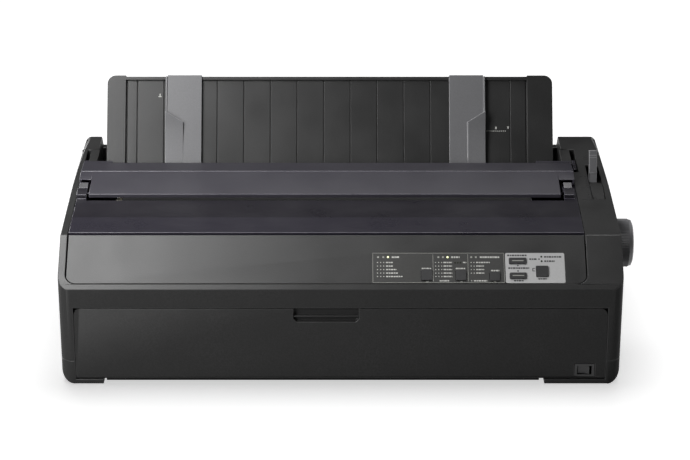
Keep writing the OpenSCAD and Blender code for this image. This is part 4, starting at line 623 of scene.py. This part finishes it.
def ground_steel(name, tint, shade, roughness):
    """Steel ground on centres: bright, with fine rings round the bar that blur its reflections along
    it. They are drawn 0.8 mm apart, so that they show."""
    ring_scale, roughness_spread = (1250, 30, 30), 0.06
    material, tree, surface, place = new_material(name)
    stretched = add(tree, "ShaderNodeMapping", {"Vector": place, "Scale": ring_scale})
    rings = add(tree, "ShaderNodeTexNoise", {"Vector": stretched.outputs[0], "Scale": 1, "Detail": 2})
    colour = add(tree, "ShaderNodeMix", {0: rings.outputs["Fac"], 6: hex_colour(shade), 7: hex_colour(tint)},
                 data_type="RGBA")
    rough = add(tree, "ShaderNodeMapRange", {"Value": rings.outputs["Fac"], 3: roughness - roughness_spread,
                                             4: roughness + roughness_spread})
    tree.links.new(colour.outputs[2], surface.inputs["Base Color"])
    tree.links.new(rough.outputs[0], surface.inputs["Roughness"])
    surface.inputs["Metallic"].default_value = 1
    return material


bright_steel = ground_steel("ground_steel", "#c9cbcd", "#b4b6b8", roughness=0.24)
for node in ("platen_shaft", "tractor_drive_shaft", "guide_rods", "feed_motor_pinion"):
    dress(node, bright_steel)

# Ground rubber is dull and dark grey, with a fine even nap.
platen_rubber = moulded_plastic("ground_nitrile_rubber", "#2a2a2b", "#202021", grain=0.0009, relief=0.00003,
                                roughness=0.72, specular=0.35)
for node in ("platen_roller", "pinch_rollers"):
    dress(node, platen_rubber)


# ---------------------------------------------------------------- feed gears
# The gear train from the platen to the tractors and the shafts' bushes are moulded in natural acetal,
# which is off-white and slightly waxy.

natural_acetal = moulded_plastic("natural_acetal", "#d6d2c6", "#c8c4b6", grain=0.002, relief=0.00002,
                                 roughness=0.35)
for node in ("shaft_bushes", "platen_gear", "reduction_gear", "transfer_gear_front", "transfer_gear_rear",
             "tractor_gear"):
    dress(node, natural_acetal)


# ---------------------------------------------------------------- paper path and tractors
# The chute and the front ramp are thin black ABS sheets that steer the paper. The two tractors slide
# on their shafts, and their pins draw fanfold paper under a smoked flap.

for node in ("paper_chute", "front_paper_ramp"):
    dress(node, key_abs)
for tractor in ("tractor_left", "tractor_right"):
    softened(tractor, tractor + "_body", black_finish, tractor, "black_plastic", radius=0.0005)
    softened(tractor + "_cover", tractor + "_flap", smoked_finish, tractor + "_cover", "smoked_plastic",
             radius=0.0004)


# ---------------------------------------------------------------- carriage, head and ribbon
# The carriage is a black nylon block on the guide rods, pulled by a toothed rubber belt. The print
# head is cast aluminium with cooling fins, and the ribbon cartridge lies on brackets.

dress("carriage", black_nylon)
softened("ribbon_cartridge", "ribbon_cartridge_shell", key_finish, "chassis", "black_plastic", radius=0.0006,
         shortest=0.0006)
softened("ribbon_knob", "ribbon_knob_moulding", handle_finish, "ribbon_knob", "light_grey_plastic",
         radius=0.0003)
softened("head_gap_lever", "head_gap_lever_moulding", handle_finish, "head_gap_lever", "light_grey_plastic",
         radius=0.0005)

# Neoprene is a dead black with a fine cloth-like skin.
belt_rubber = moulded_plastic("neoprene_belt", "#1c1c1c", "#121212", grain=0.0008, relief=0.00005,
                              roughness=0.75, specular=0.3)
dress("carriage_belt", belt_rubber)


def patchy_metal(name, tint, shade, patch, relief, roughness):
    """Plated sheet or a casting: patches of the given size in metres, each a shade of its own."""
    grit_scale, roughness_spread = 900, 0.07
    material, tree, surface, place = new_material(name)
    patches = add(tree, "ShaderNodeTexVoronoi", {"Vector": place, "Scale": 1 / patch})
    shade_of = add(tree, "ShaderNodeSeparateColor", {0: patches.outputs["Color"]})
    grit = add(tree, "ShaderNodeTexNoise", {"Vector": place, "Scale": grit_scale, "Detail": 2})
    colour = add(tree, "ShaderNodeMix", {0: shade_of.outputs[0], 6: hex_colour(shade), 7: hex_colour(tint)},
                 data_type="RGBA")
    rough = add(tree, "ShaderNodeMapRange", {"Value": shade_of.outputs[1], 3: roughness - roughness_spread,
                                             4: roughness + roughness_spread})
    bump = add(tree, "ShaderNodeBump", {"Height": grit.outputs["Fac"], "Distance": relief, "Strength": 1.0})
    tree.links.new(colour.outputs[2], surface.inputs["Base Color"])
    tree.links.new(rough.outputs[0], surface.inputs["Roughness"])
    tree.links.new(bump.outputs[0], surface.inputs["Normal"])
    surface.inputs["Metallic"].default_value = 1
    return material


# Cast aluminium is a dull grey with a coarse skin. Zinc plate is bright, with a spangle of patches.
cast_aluminium = patchy_metal("cast_aluminium", "#8c8e90", "#7c7e80", patch=0.0009, relief=0.00004,
                              roughness=0.5)
dress("print_head", cast_aluminium)
zinc_plate = patchy_metal("zinc_plated_steel", "#b6b9bc", "#a2a5a8", patch=0.004, relief=0.000008,
                          roughness=0.38)
for node in ("motor_pulley", "idler_pulley"):
    dress(node, zinc_plate)


# ---------------------------------------------------------------- frame and motors
# Two pressed and zinc plated steel side frames stand on a base plate and carry every shaft. The two
# stepper motors are square, with black lacquered steel ends. Cross-headed screws hold it all.

for node in ("base_plate", "side_frame_left", "side_frame_right", "carriage_frame", "screws"):
    dress(node, zinc_plate)
softened("stepper_motors", "stepper_motor_bodies", black_finish, "chassis", "black_plastic", radius=0.0006)


# ---------------------------------------------------------------- boards, supply and connectors
# The boards are glass-epoxy with a green solder mask over copper tracks. The power supply sits in a
# plated steel tray. The connectors at the back have black bodies.

def solder_mask(name, track, base, pitch, relief, roughness):
    """Green lacquer that is paler over the copper tracks, which run pitch apart, in metres."""
    track_share, track_run, cloud_scale = 0.14, 7, 60
    material, tree, surface, place = new_material(name)
    tracks = add(tree, "ShaderNodeTexBrick",
                 {"Vector": place, "Color1": hex_colour(base), "Color2": hex_colour(base),
                  "Mortar": hex_colour(track), "Scale": 1.0, "Mortar Size": pitch * track_share,
                  "Brick Width": pitch * track_run, "Row Height": pitch},
                 offset=0.37, offset_frequency=3)
    cloud = add(tree, "ShaderNodeTexNoise", {"Vector": place, "Scale": cloud_scale, "Detail": 2})
    colour = add(tree, "ShaderNodeMix",
                 {0: cloud.outputs["Fac"], 6: tracks.outputs["Color"], 7: hex_colour(base)}, data_type="RGBA")
    bump = add(tree, "ShaderNodeBump", {"Height": tracks.outputs["Fac"], "Distance": relief, "Strength": 1.0})
    tree.links.new(colour.outputs[2], surface.inputs["Base Color"])
    tree.links.new(bump.outputs[0], surface.inputs["Normal"])
    surface.inputs["Roughness"].default_value = roughness
    return material


board_green = solder_mask("green_solder_mask", "#3a8a4e", "#17502c", pitch=0.0025, relief=0.00003,
                          roughness=0.35)
for node in ("control_board", "main_board"):
    dress(node, board_green)
dress("power_supply", zinc_plate)
softened("rear_connectors", "rear_connector_bodies", black_finish, "chassis", "black_plastic", radius=0.0003)
